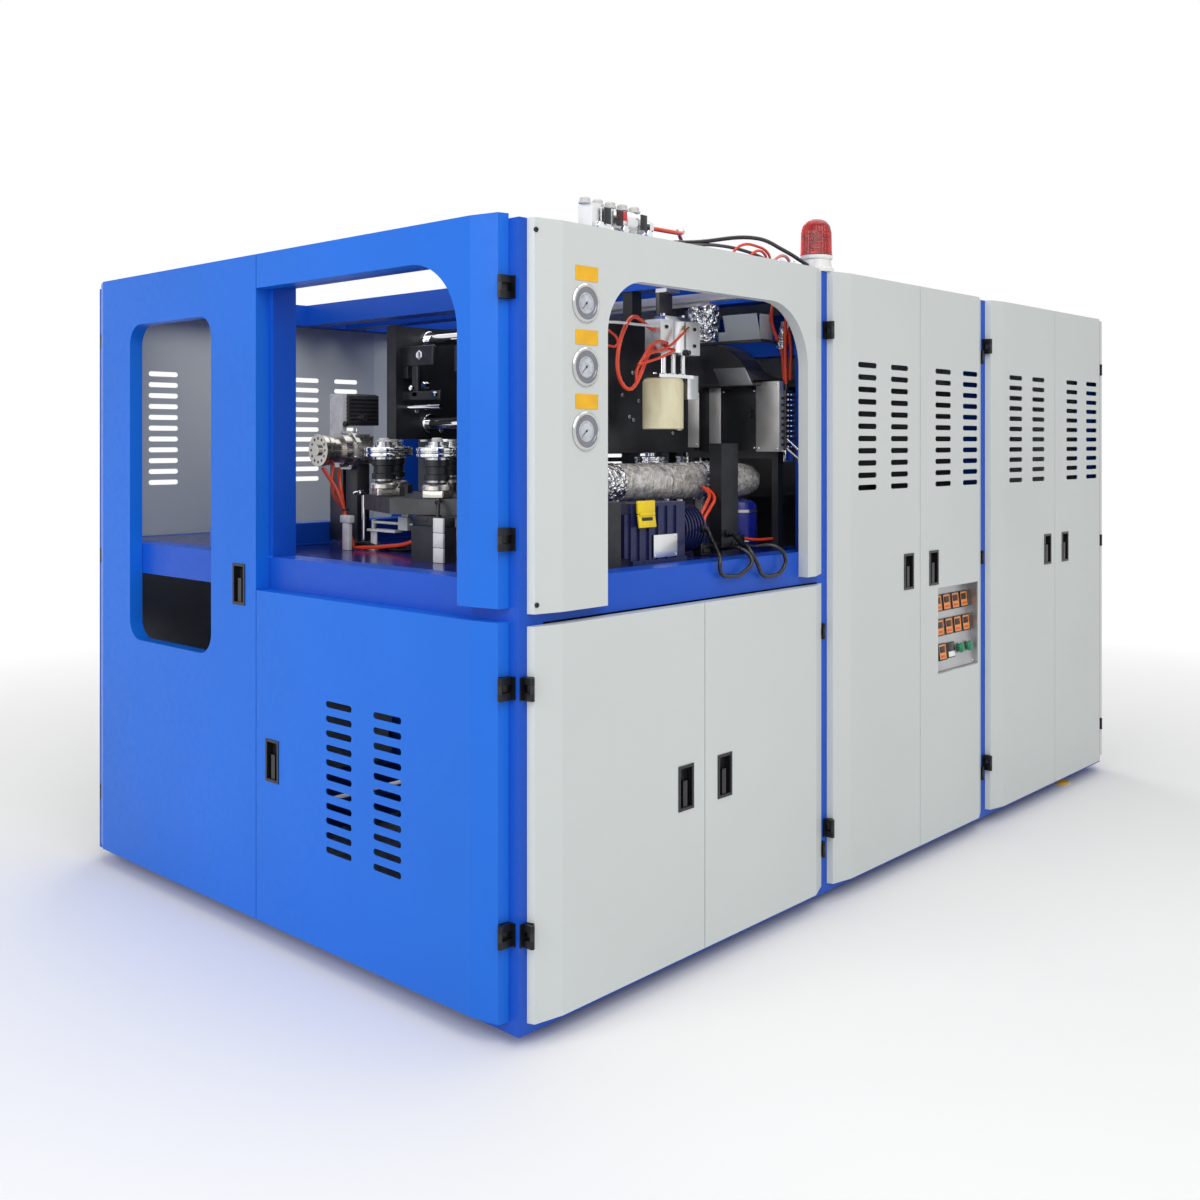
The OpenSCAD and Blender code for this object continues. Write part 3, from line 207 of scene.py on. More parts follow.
class Finish:
    def __init__(self, name, colour, roughness=0.5, metallic=0.0):
        self.material = bpy.data.materials.new(name)
        self.material.use_nodes = True
        self.tree = self.material.node_tree
        self.shader = self.tree.nodes["Principled BSDF"]
        self.colour = (*colour, 1)
        self.set("Base Color", self.colour)
        self.set("Roughness", roughness)
        self.set("Metallic", metallic)
        self.material.diffuse_color = self.colour
        self.coordinates = self.add("ShaderNodeTexCoord").outputs["Object"]
        self.height = None

    def set(self, socket, value):
        self.shader.inputs[socket].default_value = value

    def add(self, kind, **settings):
        made = self.tree.nodes.new(kind)
        for key, value in settings.items():
            setattr(made, key, value)
        return made

    def link(self, source, target):
        self.tree.links.new(source, target)

    def noise(self, scale, detail=3.0, rough=0.5, stretch=None, distortion=0.0):
        made = self.add("ShaderNodeTexNoise")
        made.inputs["Scale"].default_value = scale
        made.inputs["Detail"].default_value = detail
        made.inputs["Roughness"].default_value = rough
        made.inputs["Distortion"].default_value = distortion
        self.link(self.mapped(stretch), made.inputs["Vector"])
        return made.outputs["Fac"]

    def cells(self, scale, feature="F1", randomness=1.0, stretch=None):
        made = self.add("ShaderNodeTexVoronoi", feature=feature)
        made.inputs["Scale"].default_value = scale
        made.inputs["Randomness"].default_value = randomness
        self.link(self.mapped(stretch), made.inputs["Vector"])
        return made.outputs["Distance"]

    def mapped(self, stretch):
        if stretch is None:
            return self.coordinates
        made = self.add("ShaderNodeMapping")
        made.inputs["Scale"].default_value = stretch
        self.link(self.coordinates, made.inputs["Vector"])
        return made.outputs["Vector"]

    def ramp(self, source, stops):
        made = self.add("ShaderNodeValToRGB")
        elements = made.color_ramp.elements
        while len(elements) < len(stops):
            elements.new(0.5)
        for element, (place, colour) in zip(elements, stops):
            element.position = place
            element.color = (*colour, 1) if len(colour) == 3 else colour
        self.link(source, made.inputs["Fac"])
        return made.outputs["Color"]

    def span(self, source, low, high, fromLow=0.0, fromHigh=1.0):
        made = self.add("ShaderNodeMapRange")
        made.inputs["From Min"].default_value = fromLow
        made.inputs["From Max"].default_value = fromHigh
        made.inputs["To Min"].default_value = low
        made.inputs["To Max"].default_value = high
        self.link(source, made.inputs["Value"])
        return made.outputs["Result"]

    def tint(self, source, light, dark, low=0.35, high=0.65):
        # Colour runs between two tints of the finish as the pattern goes from low to high
        self.link(self.ramp(source, [(low, dark), (high, light)]), self.shader.inputs["Base Color"])

    def rough(self, source, low, high):
        self.link(self.span(source, low, high, 0.3, 0.7), self.shader.inputs["Roughness"])

    def bump(self, source, strength, depth):
        made = self.add("ShaderNodeBump")
        made.inputs["Strength"].default_value = strength
        made.inputs["Distance"].default_value = depth
        self.link(source, made.inputs["Height"])
        if self.height is not None:
            self.link(self.height, made.inputs["Normal"])
        self.height = made.outputs["Normal"]
        self.link(self.height, self.shader.inputs["Normal"])

    def sum(self, first, second, operation="ADD"):
        made = self.add("ShaderNodeMath", operation=operation)
        self.link(first, made.inputs[0])
        self.link(second, made.inputs[1])
        return made.outputs["Value"]


def shade(colour, factor):
    return tuple(min(1.0, c * factor) for c in colour)


def powderCoat(name, colour, peel=0.35, roughness=(0.34, 0.46), cloud=0.05):
    # Powder coat with the orange peel of a sprayed cabinet
    paint = Finish(name, colour)
    large = paint.noise(scale=1.3, detail=2)
    paint.tint(large, shade(colour, 1 + cloud), shade(colour, 1 - cloud))
    paint.rough(paint.noise(scale=40, detail=3), *roughness)
    paint.bump(paint.noise(scale=150, detail=2, rough=0.55), strength=peel, depth=0.0006)
    paint.bump(paint.noise(scale=3.1, detail=1), strength=0.08, depth=0.004)
    paint.set("Specular IOR Level", 0.3)
    return paint.material


def brushedSteel(name, colour, roughness=(0.24, 0.40), stretch=(4, 4, 160), depth=0.0002):
    steel = Finish(name, colour, metallic=1.0)
    grain = steel.noise(scale=14, detail=4, rough=0.65, stretch=stretch)
    steel.tint(steel.noise(scale=6, detail=3), shade(colour, 1.06), shade(colour, 0.86))
    steel.rough(grain, *roughness)
    steel.bump(grain, strength=0.25, depth=depth)
    return steel.material


def turnedChrome(name, colour=(0.80, 0.81, 0.83), roughness=(0.06, 0.16)):
    chrome = Finish(name, colour, metallic=1.0)
    chrome.rough(chrome.noise(scale=60, detail=4, rough=0.6, stretch=(1, 1, 9)), *roughness)
    chrome.bump(chrome.noise(scale=70, detail=2, rough=0.5, stretch=(1, 1, 14)), strength=0.10, depth=0.0002)
    chrome.tint(chrome.noise(scale=9, detail=3), colour, shade(colour, 0.84))
    return chrome.material


def blackSteel(name, colour=(0.016, 0.017, 0.020), roughness=(0.30, 0.5)):
    steel = Finish(name, colour, metallic=0.35)
    stain = steel.noise(scale=7, detail=5, rough=0.6)
    steel.tint(stain, shade(colour, 1.9), colour, 0.42, 0.75)
    steel.rough(steel.noise(scale=25, detail=4), *roughness)
    steel.bump(steel.noise(scale=240, detail=3), strength=0.12, depth=0.0003)
    return steel.material


def moulded(name, colour, roughness=(0.3, 0.42), grain=700, depth=0.0002):
    plastic = Finish(name, colour)
    plastic.tint(plastic.noise(scale=18, detail=3), shade(colour, 1.05), shade(colour, 0.9))
    plastic.rough(plastic.noise(scale=60, detail=3), *roughness)
    plastic.bump(plastic.noise(scale=grain, detail=2), strength=0.15, depth=depth)
    return plastic.material


def crinkledFoil(name, scale=46, colour=(0.78, 0.79, 0.80)):
    foil = Finish(name, colour, 0.22, 1.0)
    folds = foil.cells(scale, "F1")
    small = foil.cells(scale * 2.6, "F1")
    # The colour darkens to less than half in the hollows of the folds: painted shade
    foil.tint(folds, colour, shade(colour, 0.45), 0.1, 0.5)
    foil.rough(foil.noise(scale=50, detail=3), 0.16, 0.34)
    foil.bump(folds, strength=1.0, depth=0.012)
    foil.bump(small, strength=0.9, depth=0.005)
    return foil.material


def bubbleWrap(name):
    colour = linear(176, 172, 166)
    wrap = Finish(name, colour, 0.2)
    wrinkle = wrap.noise(scale=26, detail=4, rough=0.6, stretch=(1, 1, 1), distortion=2.2)
    bubbles = wrap.cells(150, "SMOOTH_F1", 0.35)
    # The film's colour follows its wrinkles, lighter on the crests and darker in the troughs: painted
    # highlight and shade
    wrap.tint(wrinkle, linear(232, 229, 224), linear(150, 146, 141), 0.36, 0.62)
    wrap.rough(wrinkle, 0.12, 0.38)
    wrap.bump(wrinkle, strength=0.8, depth=0.006)
    wrap.bump(bubbles, strength=0.5, depth=0.0022)
    wrap.set("Coat Weight", 0.6)
    wrap.set("Coat Roughness", 0.12)
    wrap.set("Metallic", 0.25)
    return wrap.material


def redLens(name):
    lens = Finish(name, linear(196, 12, 24), 0.08)
    lens.set("Transmission Weight", 0.93)
    lens.set("IOR", 1.3)
    lens.tint(lens.noise(scale=30, detail=2), linear(214, 16, 28), linear(176, 4, 16))
    lens.rough(lens.noise(scale=45, detail=2), 0.03, 0.08)
    lens.set("Coat Weight", 0.5)
    return lens.material


def nylonCast(name):
    nylon = Finish(name, linear(232, 224, 190), 0.42)
    streaks = nylon.noise(scale=16, detail=3, rough=0.6, stretch=(1, 1, 0.5), distortion=0.8)
    nylon.tint(streaks, linear(238, 231, 198), linear(214, 203, 160), 0.3, 0.7)
    nylon.rough(nylon.noise(scale=40, detail=3), 0.36, 0.5)
    nylon.bump(nylon.noise(scale=30, detail=2, rough=0.5, stretch=(1, 1, 26)), strength=0.12, depth=0.0004)
    nylon.set("Subsurface Weight", 0.12)
    nylon.set("Subsurface Radius", (0.02, 0.016, 0.01))
    return nylon.material


def greyDial(name):
    dial = Finish(name, linear(196, 200, 206), 0.4)
    dial.tint(dial.noise(scale=60, detail=3), linear(206, 210, 216), linear(178, 183, 190))
    dial.rough(dial.noise(scale=80, detail=2), 0.35, 0.5)
    return dial.material


colours = {
    "blue": linear(16, 106, 216),
    "grey": linear(208, 213, 212),
    "black": linear(24, 25, 28),
    "yellow": linear(240, 182, 26),
    "orange": linear(244, 150, 66),
    "hose": linear(232, 74, 40),
    "green": linear(12, 128, 84),
}
blueCoat = powderCoat("blue_coat", colours["blue"], 0.42)
# A darker copy of the blue coat: painted shade for the frame's posts and beams and the bed rail
shadedFrameCoat = powderCoat("frame_coat_painted_shade", linear(14, 80, 192), 0.42)
# Dark navy with gloss: painted shade on the bed, whose top lies in shade
shadedBedPaint = powderCoat("bed_paint_painted_shade", linear(34, 40, 116), 0.25, (0.12, 0.22), 0.16)
nickel = turnedChrome("nickel_plate", (0.60, 0.57, 0.52), (0.22, 0.36))
servoDark = blackSteel("servo_case", (0.040, 0.041, 0.044), (0.34, 0.5))
palePlate = brushedSteel("pale_stainless", (0.80, 0.78, 0.75), (0.42, 0.58), (140, 4, 4))
consoleSteel = brushedSteel("console_steel", (0.46, 0.46, 0.47), (0.34, 0.5), (6, 6, 90))
greyCoat = powderCoat("grey_coat", colours["grey"], 0.30, cloud=0.02)
blackCup = moulded("black_moulded", colours["black"], (0.24, 0.4))
hingeBlack = blackSteel("hinge_black", linear(20, 21, 24), (0.26, 0.44))
chrome = turnedChrome("turned_chrome")
rodChrome = turnedChrome("rod_chrome", (0.86, 0.87, 0.89), (0.03, 0.1))
steelSheet = brushedSteel("galvanised_sheet", (0.62, 0.63, 0.64), (0.3, 0.46), (30, 30, 30))
aluminium = brushedSteel("brushed_aluminium", (0.78, 0.79, 0.80), (0.28, 0.42), (160, 4, 4))
castAluminium = moulded("cast_aluminium", (0.60, 0.60, 0.58), (0.4, 0.55), 380, 0.0005)
blackened = blackSteel("blackened_steel")
darkSheet = brushedSteel("dark_sheet", (0.10, 0.10, 0.105), (0.42, 0.58), (20, 20, 20))
yellowPaint = moulded("yellow_plate", colours["yellow"], (0.32, 0.44), 500)
orangeCase = moulded("orange_case", colours["orange"], (0.26, 0.36))
greenDome = moulded("green_dome", colours["green"], (0.08, 0.16), 300, 0.0001)
hoseOrange = moulded("hose_orange", colours["hose"], (0.16, 0.28), 300, 0.0001)
cableBlack = moulded("cable_black", linear(14, 14, 15), (0.22, 0.34), 500)
whitePlastic = moulded("white_plastic", linear(230, 229, 226), (0.22, 0.32))
navyCase = powderCoat("navy_case", linear(34, 38, 78), 0.5, (0.2, 0.36), 0.12)
foil = crinkledFoil("crinkled_foil")
bubble = bubbleWrap("bubble_wrap")
nylon = nylonCast("cast_nylon")
dialFace = greyDial("dial_face")
lensRed = redLens("red_lens")
inkBlack = moulded("black_ink", linear(18, 18, 20), (0.4, 0.5))
displayDark = moulded("display_dark", linear(30, 12, 10), (0.1, 0.2), 400, 0.0001)
bezelGrey = turnedChrome("bezel_grey", (0.26, 0.27, 0.30), (0.14, 0.26))
discSteel = turnedChrome("disc_steel", (0.62, 0.62, 0.62), (0.12, 0.24))
brassFitting = turnedChrome("brass_fitting", (0.72, 0.55, 0.28), (0.14, 0.26))
darkChrome = turnedChrome("dark_chrome", (0.40, 0.41, 0.43), (0.18, 0.32))
brightYellow = moulded("bright_yellow", linear(240, 208, 12), (0.28, 0.4), 400)
vesselBlue = powderCoat("vessel_blue", linear(16, 28, 120), 0.4, (0.2, 0.34), 0.1)
pinkTube = moulded("pink_tube", linear(222, 130, 120), (0.14, 0.24), 300, 0.0001)
brownTube = moulded("brown_tube", linear(96, 80, 72), (0.3, 0.42), 400)
deepOrange = moulded("deep_orange", linear(222, 86, 20), (0.3, 0.4), 400, 0.0001)
digitRed = moulded("digit_red", linear(70, 14, 10), (0.2, 0.3), 400, 0.0001)
print("stage: materials made")

# The finish of each carried-over node; doors and their fittings are told by the start of their names
nodeFinish = {
    "frame_posts": shadedFrameCoat, "frame_beams_x": shadedFrameCoat, "frame_beams_y": shadedFrameCoat, "bed_plate": shadedBedPaint,
    "roof_sheets": greyCoat, "front_upper_panel": greyCoat, "rear_panels": greyCoat, "end_panel": greyCoat,
    "levelling_feet": yellowPaint, "hinge_leaves": hingeBlack, "gauges": discSteel,
    "gauge_labels": yellowPaint, "beacon_base": whitePlastic, "beacon_lens": lensRed,
    "beacon_reflector": rodChrome, "console": consoleSteel, "controllers": orangeCase,
    "button_square": greenDome, "button_round": greenDome, "guide_cylinder": aluminium,
    "slide_carriage": rodChrome, "nylon_block": nylon, "clamp_plates": blackened,
    "tie_bars": rodChrome, "moving_platen": blackened, "transfer_table": servoDark,
    "station_discs": discSteel, "table_hub": blackened, "drive_unit": navyCase,
    "oven_end": darkSheet, "oven_bank": darkSheet, "oven_spindles": chrome,
    "hot_air_hood": darkSheet, "wrapped_duct": bubble, "rotary_chuck": nickel,
    "top_valves": aluminium, "air_hoses": hoseOrange, "cables": cableBlack,
}
for name, node in nodes.items():
    if name.startswith("door_end"):
        finish = blueCoat
    elif name.startswith("door_"):
        finish = greyCoat
    elif name.startswith("fit_"):
        finish = blackCup
    else:
        finish = nodeFinish[name]
    node.data.materials.clear()
    node.data.materials.append(finish)
print("stage: nodes finished")

# Camera, solved from the photograph's two vanishing points: it looks level, and the shift frames the view
viewpoint = {"place": (-2067.7, -2170.8, 1400.8), "heading": -47.405, "sensor": 36, "lens": 38.145,
             "shift": -0.1312, "sight": 200}
camera = bpy.data.objects.new("camera", bpy.data.cameras.new("camera"))
bpy.context.scene.collection.objects.link(camera)
camera.location = at(*viewpoint["place"])
camera.rotation_euler = (math.radians(90), 0, math.radians(viewpoint["heading"]))
camera.data.sensor_width = viewpoint["sensor"]
camera.data.lens = viewpoint["lens"]
camera.data.shift_y = viewpoint["shift"]
camera.data.clip_end = viewpoint["sight"]
bpy.context.scene.camera = camera

# Lamps: metres and watts
lamps = [
    {"name": "key", "place": (-3.2, -5.6, 5.2), "aim": (-0.8, -0.6, 1.0), "size": 4.5, "power": 185},
    {"name": "left", "place": (-7.0, -0.4, 3.4), "aim": (-1.8, 0.0, 1.0), "size": 4.0, "power": 150},
    {"name": "top", "place": (0.6, -0.6, 6.5), "aim": (0.4, 0.0, 0.6), "size": 5.0, "power": 100},
    {"name": "back", "place": (4.5, 5.5, 4.5), "aim": (0.5, 0.5, 1.0), "size": 4.0, "power": 110},
]
for lamp in lamps:
    light = bpy.data.lights.new(lamp["name"], "AREA")
    light.shape = "SQUARE"
    light.size = lamp["size"]
    light.energy = lamp["power"]
    shown = bpy.data.objects.new(lamp["name"], light)
    bpy.context.scene.collection.objects.link(shown)
    shown.location = lamp["place"]
    shown.rotation_euler = (Vector(lamp["aim"]) - Vector(lamp["place"])).to_track_quat("-Z", "Y").to_euler()

# The world lights softly, and is white where the camera or a mirror sees it
studio = {"light": 0.42, "seen": 1.0, "colour": (1, 1, 1, 1)}
world = bpy.data.worlds.new("studio")
bpy.context.scene.world = world
world.use_nodes = True
worldTree = world.node_tree
background = worldTree.nodes["Background"]
rays = worldTree.nodes.new("ShaderNodeLightPath")
whiteSeen = worldTree.nodes.new("ShaderNodeMath")
whiteSeen.operation = "MAXIMUM"
worldTree.links.new(rays.outputs["Is Camera Ray"], whiteSeen.inputs[0])
worldTree.links.new(rays.outputs["Is Glossy Ray"], whiteSeen.inputs[1])
strength = worldTree.nodes.new("ShaderNodeMapRange")
strength.inputs["To Min"].default_value = studio["light"]
strength.inputs["To Max"].default_value = studio["seen"]
worldTree.links.new(whiteSeen.outputs[0], strength.inputs["Value"])
worldTree.links.new(strength.outputs["Result"], background.inputs["Strength"])
background.inputs["Color"].default_value = studio["colour"]

# The floor runs over into the white background far from the machine, so no horizon shows
ground = {"size": 60, "colour": (0.93, 0.93, 0.93), "light": (0.94, 0.94, 0.94), "dark": (0.91, 0.91, 0.91),
          "roughness": 0.9, "whiteFrom": 2.2, "whiteTo": 5.5}
bpy.ops.mesh.primitive_plane_add(size=ground["size"], location=(0, 0, 0))
floor = bpy.context.object
floor.name = "floor"
floorPaint = Finish("floor_paint", ground["colour"], ground["roughness"])
floorPaint.tint(floorPaint.noise(scale=0.4, detail=2), ground["light"], ground["dark"])
spread = floorPaint.add("ShaderNodeVectorMath", operation="LENGTH")
floorPaint.link(floorPaint.coordinates, spread.inputs[0])
whiteFar = floorPaint.span(spread.outputs["Value"], 0.0, 1.0, ground["whiteFrom"], ground["whiteTo"])
floorRays = floorPaint.add("ShaderNodeLightPath")
seenFloor = floorPaint.sum(floorRays.outputs["Is Camera Ray"], floorRays.outputs["Is Glossy Ray"],
                           "MAXIMUM")
whiteFar = floorPaint.sum(whiteFar, seenFloor, "MULTIPLY")
glow = floorPaint.add("ShaderNodeEmission")
merged = floorPaint.add("ShaderNodeMixShader")
floorPaint.link(whiteFar, merged.inputs["Fac"])
floorPaint.link(floorPaint.shader.outputs["BSDF"], merged.inputs[1])
floorPaint.link(glow.outputs["Emission"], merged.inputs[2])
floorPaint.link(merged.outputs["Shader"], floorPaint.tree.nodes["Material Output"].inputs["Surface"])
floor.data.materials.append(floorPaint.material)
bpy.context.scene.view_settings.view_transform = "Standard"
print("stage: camera, lights and floor")


# Small repeated parts: the screw's profile is in shares of its radius and height
screwShape = ((0, 0), (1, 0), (1, 0.7), (0.82, 1), (0.5, 1), (0.46, 0.4), (0, 0.4))
# Crumpled sheet: how sharp its ridges are, and its coarse and fine folds
folds = {"ridge": 2.4, "coarse": 0.7, "fine": 0.3, "fineScale": 2.7}


def rod(start, end, radius, sides=12):
    return hoseAlong((start, end), radius, sides)


def screwHead(place, turn=facesFront, radius=5.0, tall=3.2):
    return turned([(radius * r, tall * h) for r, h in screwShape], place, turn, steps=20)


def crumple(piece, depth, size, drift=0.0):
    # Presses folds into a sheet along its normals
    for vertex in piece.data.vertices:
        spot = vertex.co / size * 1000
        fold = 1 - folds["ridge"] * abs(noise.noise(spot + Vector((drift, 0, 0))))
        small = noise.noise(spot * folds["fineScale"] + Vector((0, drift, 0)))
        vertex.co += vertex.normal * (fold * folds["coarse"] + small * folds["fine"]) * depth / 1000
    piece.data.update()
    return piece


def sleeve(inner, outer, long, step, place, turn, steps=56):
    # A tube with rings along its length, fine enough to be crumpled
    count = max(2, round(long / step))
    profile = [(outer, long * i / count) for i in range(count + 1)]
    profile += [(inner, long), (inner, 0), (outer, 0)]
    return turned(profile, place, turn, steps, angle=50)


# Gauges: a rolled bezel over the face, a small dial with its ticks and needle
gauge = {
    "x": 240, "face": -3.0, "heights": (1748, 1589, 1429),
    "bezel": ((40.4, 0), (40.4, 2.6), (38.5, 2.9), (36, 2.6), (34, 1.2), (31, 1.8), (28, 1.6), (26.5, 0.8),
              (26.5, 0), (40.4, 0)),
    "dial": ((0, 0), (26.6, 0), (26.6, 0.5), (25.8, 0.8), (0, 0.8)),
    "hub": ((0, 0), (3.2, 0), (2.8, 1.4), (0, 1.7)),
    "ticks": 24, "sweep": 270, "longEvery": 4, "tickEnd": 23.5, "longTick": 4.5, "shortTick": 2.6,
    "tickHalf": 0.4, "tickFront": 1.1, "tickBack": 0.8, "hubOut": 0.6,
    "needle": 20, "needleTail": 6, "needleHalf": 0.9, "needleFront": 1.8, "needleBack": 1.2,
    "needleAngle": 222, "needleStep": 5,
    "screwCircle": 46, "screwAngles": (45, 135, 225, 315), "screwRadius": 2.4, "screwTall": 1.4,
}


def buildGauges():
    x = gauge["x"]
    y = gauge["face"]
    for number, z in enumerate(gauge["heights"]):
        face = (x, y, z)
        bezel = turned(gauge["bezel"], face, facesFront, steps=64)
        finishPiece(bezel, "gauge_bezel_%d" % number, bezelGrey)
        dial = turned(gauge["dial"], face, facesFront, steps=48)
        finishPiece(dial, "dial_%d" % number, dialFace)
        marks = []
        end = z + gauge["tickEnd"]
        for tick in range(gauge["ticks"] + 1):
            angle = -gauge["sweep"] / 2 + gauge["sweep"] * tick / gauge["ticks"]
            long = gauge["longTick"] if tick % gauge["longEvery"] == 0 else gauge["shortTick"]
            half = gauge["tickHalf"]
            low = (x - half, y - gauge["tickFront"], end - long)
            mark = block(low, (x + half, y - gauge["tickBack"], end), edge=0)
            marks.append(turnAbout(mark, face, "Y", angle))
        half = gauge["needleHalf"]
        needle = block((x - half, y - gauge["needleFront"], z - gauge["needleTail"]),
                       (x + half, y - gauge["needleBack"], z + gauge["needle"]), edge=0.2, steps=1)
        marks.append(turnAbout(needle, face, "Y", gauge["needleAngle"] + gauge["needleStep"] * number))
        marks.append(turned(gauge["hub"], (x, y - gauge["hubOut"], z), facesFront, steps=20))
        finishPiece(marks, "dial_marks_%d" % number, inkBlack)
        screws = []
        for angle in gauge["screwAngles"]:
            side = gauge["screwCircle"] * math.sin(math.radians(angle))
            rise = gauge["screwCircle"] * math.cos(math.radians(angle))
            screws.append(screwHead((x + side, y, z + rise), facesFront, gauge["screwRadius"],
                                    gauge["screwTall"]))
        finishPiece(screws, "gauge_screws_%d" % number, rodChrome)


buildGauges()
print("stage: gauges built")

# Bolts on the folded edge of the front panel, and the rim of the hole through the top beam
panelBolt = {
    "places": ((82, 1914), (84, 1009)), "radius": 6.4, "tall": 4.2,
    "foldStart": 78, "foldWide": 82, "foldDeep": 16, "foldAngle": -11, "sink": 0.5,
    "beamHole": (739, 34.6, 1903), "rim": ((5, 0), (9.5, 0), (9.5, 1.2), (8.6, 1.8), (5, 1.4), (5, 0)),
}


def buildBolts():
    bolts = []
    deep = panelBolt["foldDeep"]
    for x, z in panelBolt["places"]:
        y = deep - deep * (x - panelBolt["foldStart"]) / panelBolt["foldWide"]
        turn = (90, 0, panelBolt["foldAngle"])
        bolts.append(screwHead((x, y + panelBolt["sink"], z), turn, panelBolt["radius"], panelBolt["tall"]))
    finishPiece(bolts, "panel_bolts", blackCup)
    rim = turned(panelBolt["rim"], panelBolt["beamHole"], facesFront, steps=28)
    finishPiece(rim, "beam_hole_rim", rodChrome)


buildBolts()
print("stage: panel bolts built")

# Warning lamp: a ribbed red lens over a white inner drum
warningLamp = {
    "place": (1402, 78, 1997), "wall": 2.6, "domeFrom": 80,
    "outer": [(51, 0), (50, 6), (49.2, 20), (48.2, 74), (43.4, 96), (33.4, 110), (19.6, 117), (0, 118.6)],
    "ribs": 36, "ribDepth": 0.8, "ribTop": 100, "ribInside": 30,
    "rings": 14, "ringRadius": 31, "ringWave": 1.6, "ringFoot": 6, "ringPitch": 5,
    "drumInside": [(28, 71), (28, 6)],
}


def buildLamp():
    place = warningLamp["place"]
    outer = warningLamp["outer"]
    wall = warningLamp["wall"]
    inner = []
    for radius, z in reversed(outer):
        drop = wall if z > warningLamp["domeFrom"] else 0
        inner.append((max(0, radius - wall), z - drop))
    lens = turned(outer + inner + [outer[0]], place, facesUp, steps=144, angle=70)
    middle = at(*place)
    for vertex in lens.data.vertices:
        side = vertex.co - middle
        angle = math.atan2(side.y, side.x)
        reach = math.hypot(side.x, side.y)
        if reach > warningLamp["ribInside"] / 1000 and side.z < warningLamp["ribTop"] / 1000:
            grow = 1 + warningLamp["ribDepth"] / 1000 * math.cos(warningLamp["ribs"] * angle) / reach
            vertex.co.x = middle.x + side.x * grow
            vertex.co.y = middle.y + side.y * grow
    finishPiece(lens, "lamp_lens", lensRed, stands=("beacon_lens",))
    rings = []
    for i in range(warningLamp["rings"]):
        radius = warningLamp["ringRadius"] + warningLamp["ringWave"] * (i % 2)
        rings.append((radius, warningLamp["ringFoot"] + warningLamp["ringPitch"] * i))
    drum = turned(rings + warningLamp["drumInside"] + [rings[0]], place, facesUp, steps=48, angle=20)
    finishPiece(drum, "lamp_drum", whitePlastic)


buildLamp()
print("stage: warning lamp built")

# Lifting cylinder: its screws and fittings, and the screws and nuts that ride on the carriage
lift = {
    "plateY": 219.6, "plateScrews": ((822, 1692), (822, 1742), (954, 1692), (954, 1742)),
    "rodY": 250, "carriageTop": 1603, "carriageScrews": (803, 872, 918), "nuts": (842, 888, 934),
    "nut": ((0, 0), (11, 0), (11, 4), (9.5, 5), (0, 5)),
    "elbow": ((0, 0), (8, 0), (8, 9), (6, 11), (6, 18), (0, 18)), "elbowPlace": (889, 210, 1741),
    "stub": ((889, 190, 1741), (872, 190, 1730), 5),
    "fitting": ((0, 0), (9, 0), (9, 12), (7, 14), (7, 22), (4, 24), (0, 24)),
    "fittingPlace": (894, 212, 1668),
    "capNut": ((0, 0), (6, 0), (6, 12), (5, 13), (0, 13)), "capPlace": (894, 200, 1655),
}


def buildLift():
    y = lift["rodY"]
    top = lift["carriageTop"]
    plate = [screwHead((x, lift["plateY"], z), radius=5.6, tall=4) for x, z in lift["plateScrews"]]
    finishPiece(plate, "cylinder_screws", blackCup)
    screws = [screwHead((x, y, top), facesUp, radius=7, tall=5) for x in lift["carriageScrews"]]
    finishPiece(screws, "carriage_screws", rodChrome, "carriage")
    brass = [nut(lift["elbow"], lift["elbowPlace"], facesFront), rod(*lift["stub"])]
    finishPiece(brass, "cylinder_elbow", brassFitting)
    black = [turned(lift["fitting"], lift["fittingPlace"], facesFront, steps=32),
             nut(lift["capNut"], lift["capPlace"])]
    finishPiece(black, "cylinder_fitting", blackCup)
    nuts = [nut(lift["nut"], (x, y, top)) for x in lift["nuts"]]
    finishPiece(nuts, "rod_nuts", rodChrome, "carriage")


buildLift()
print("stage: cylinder built")

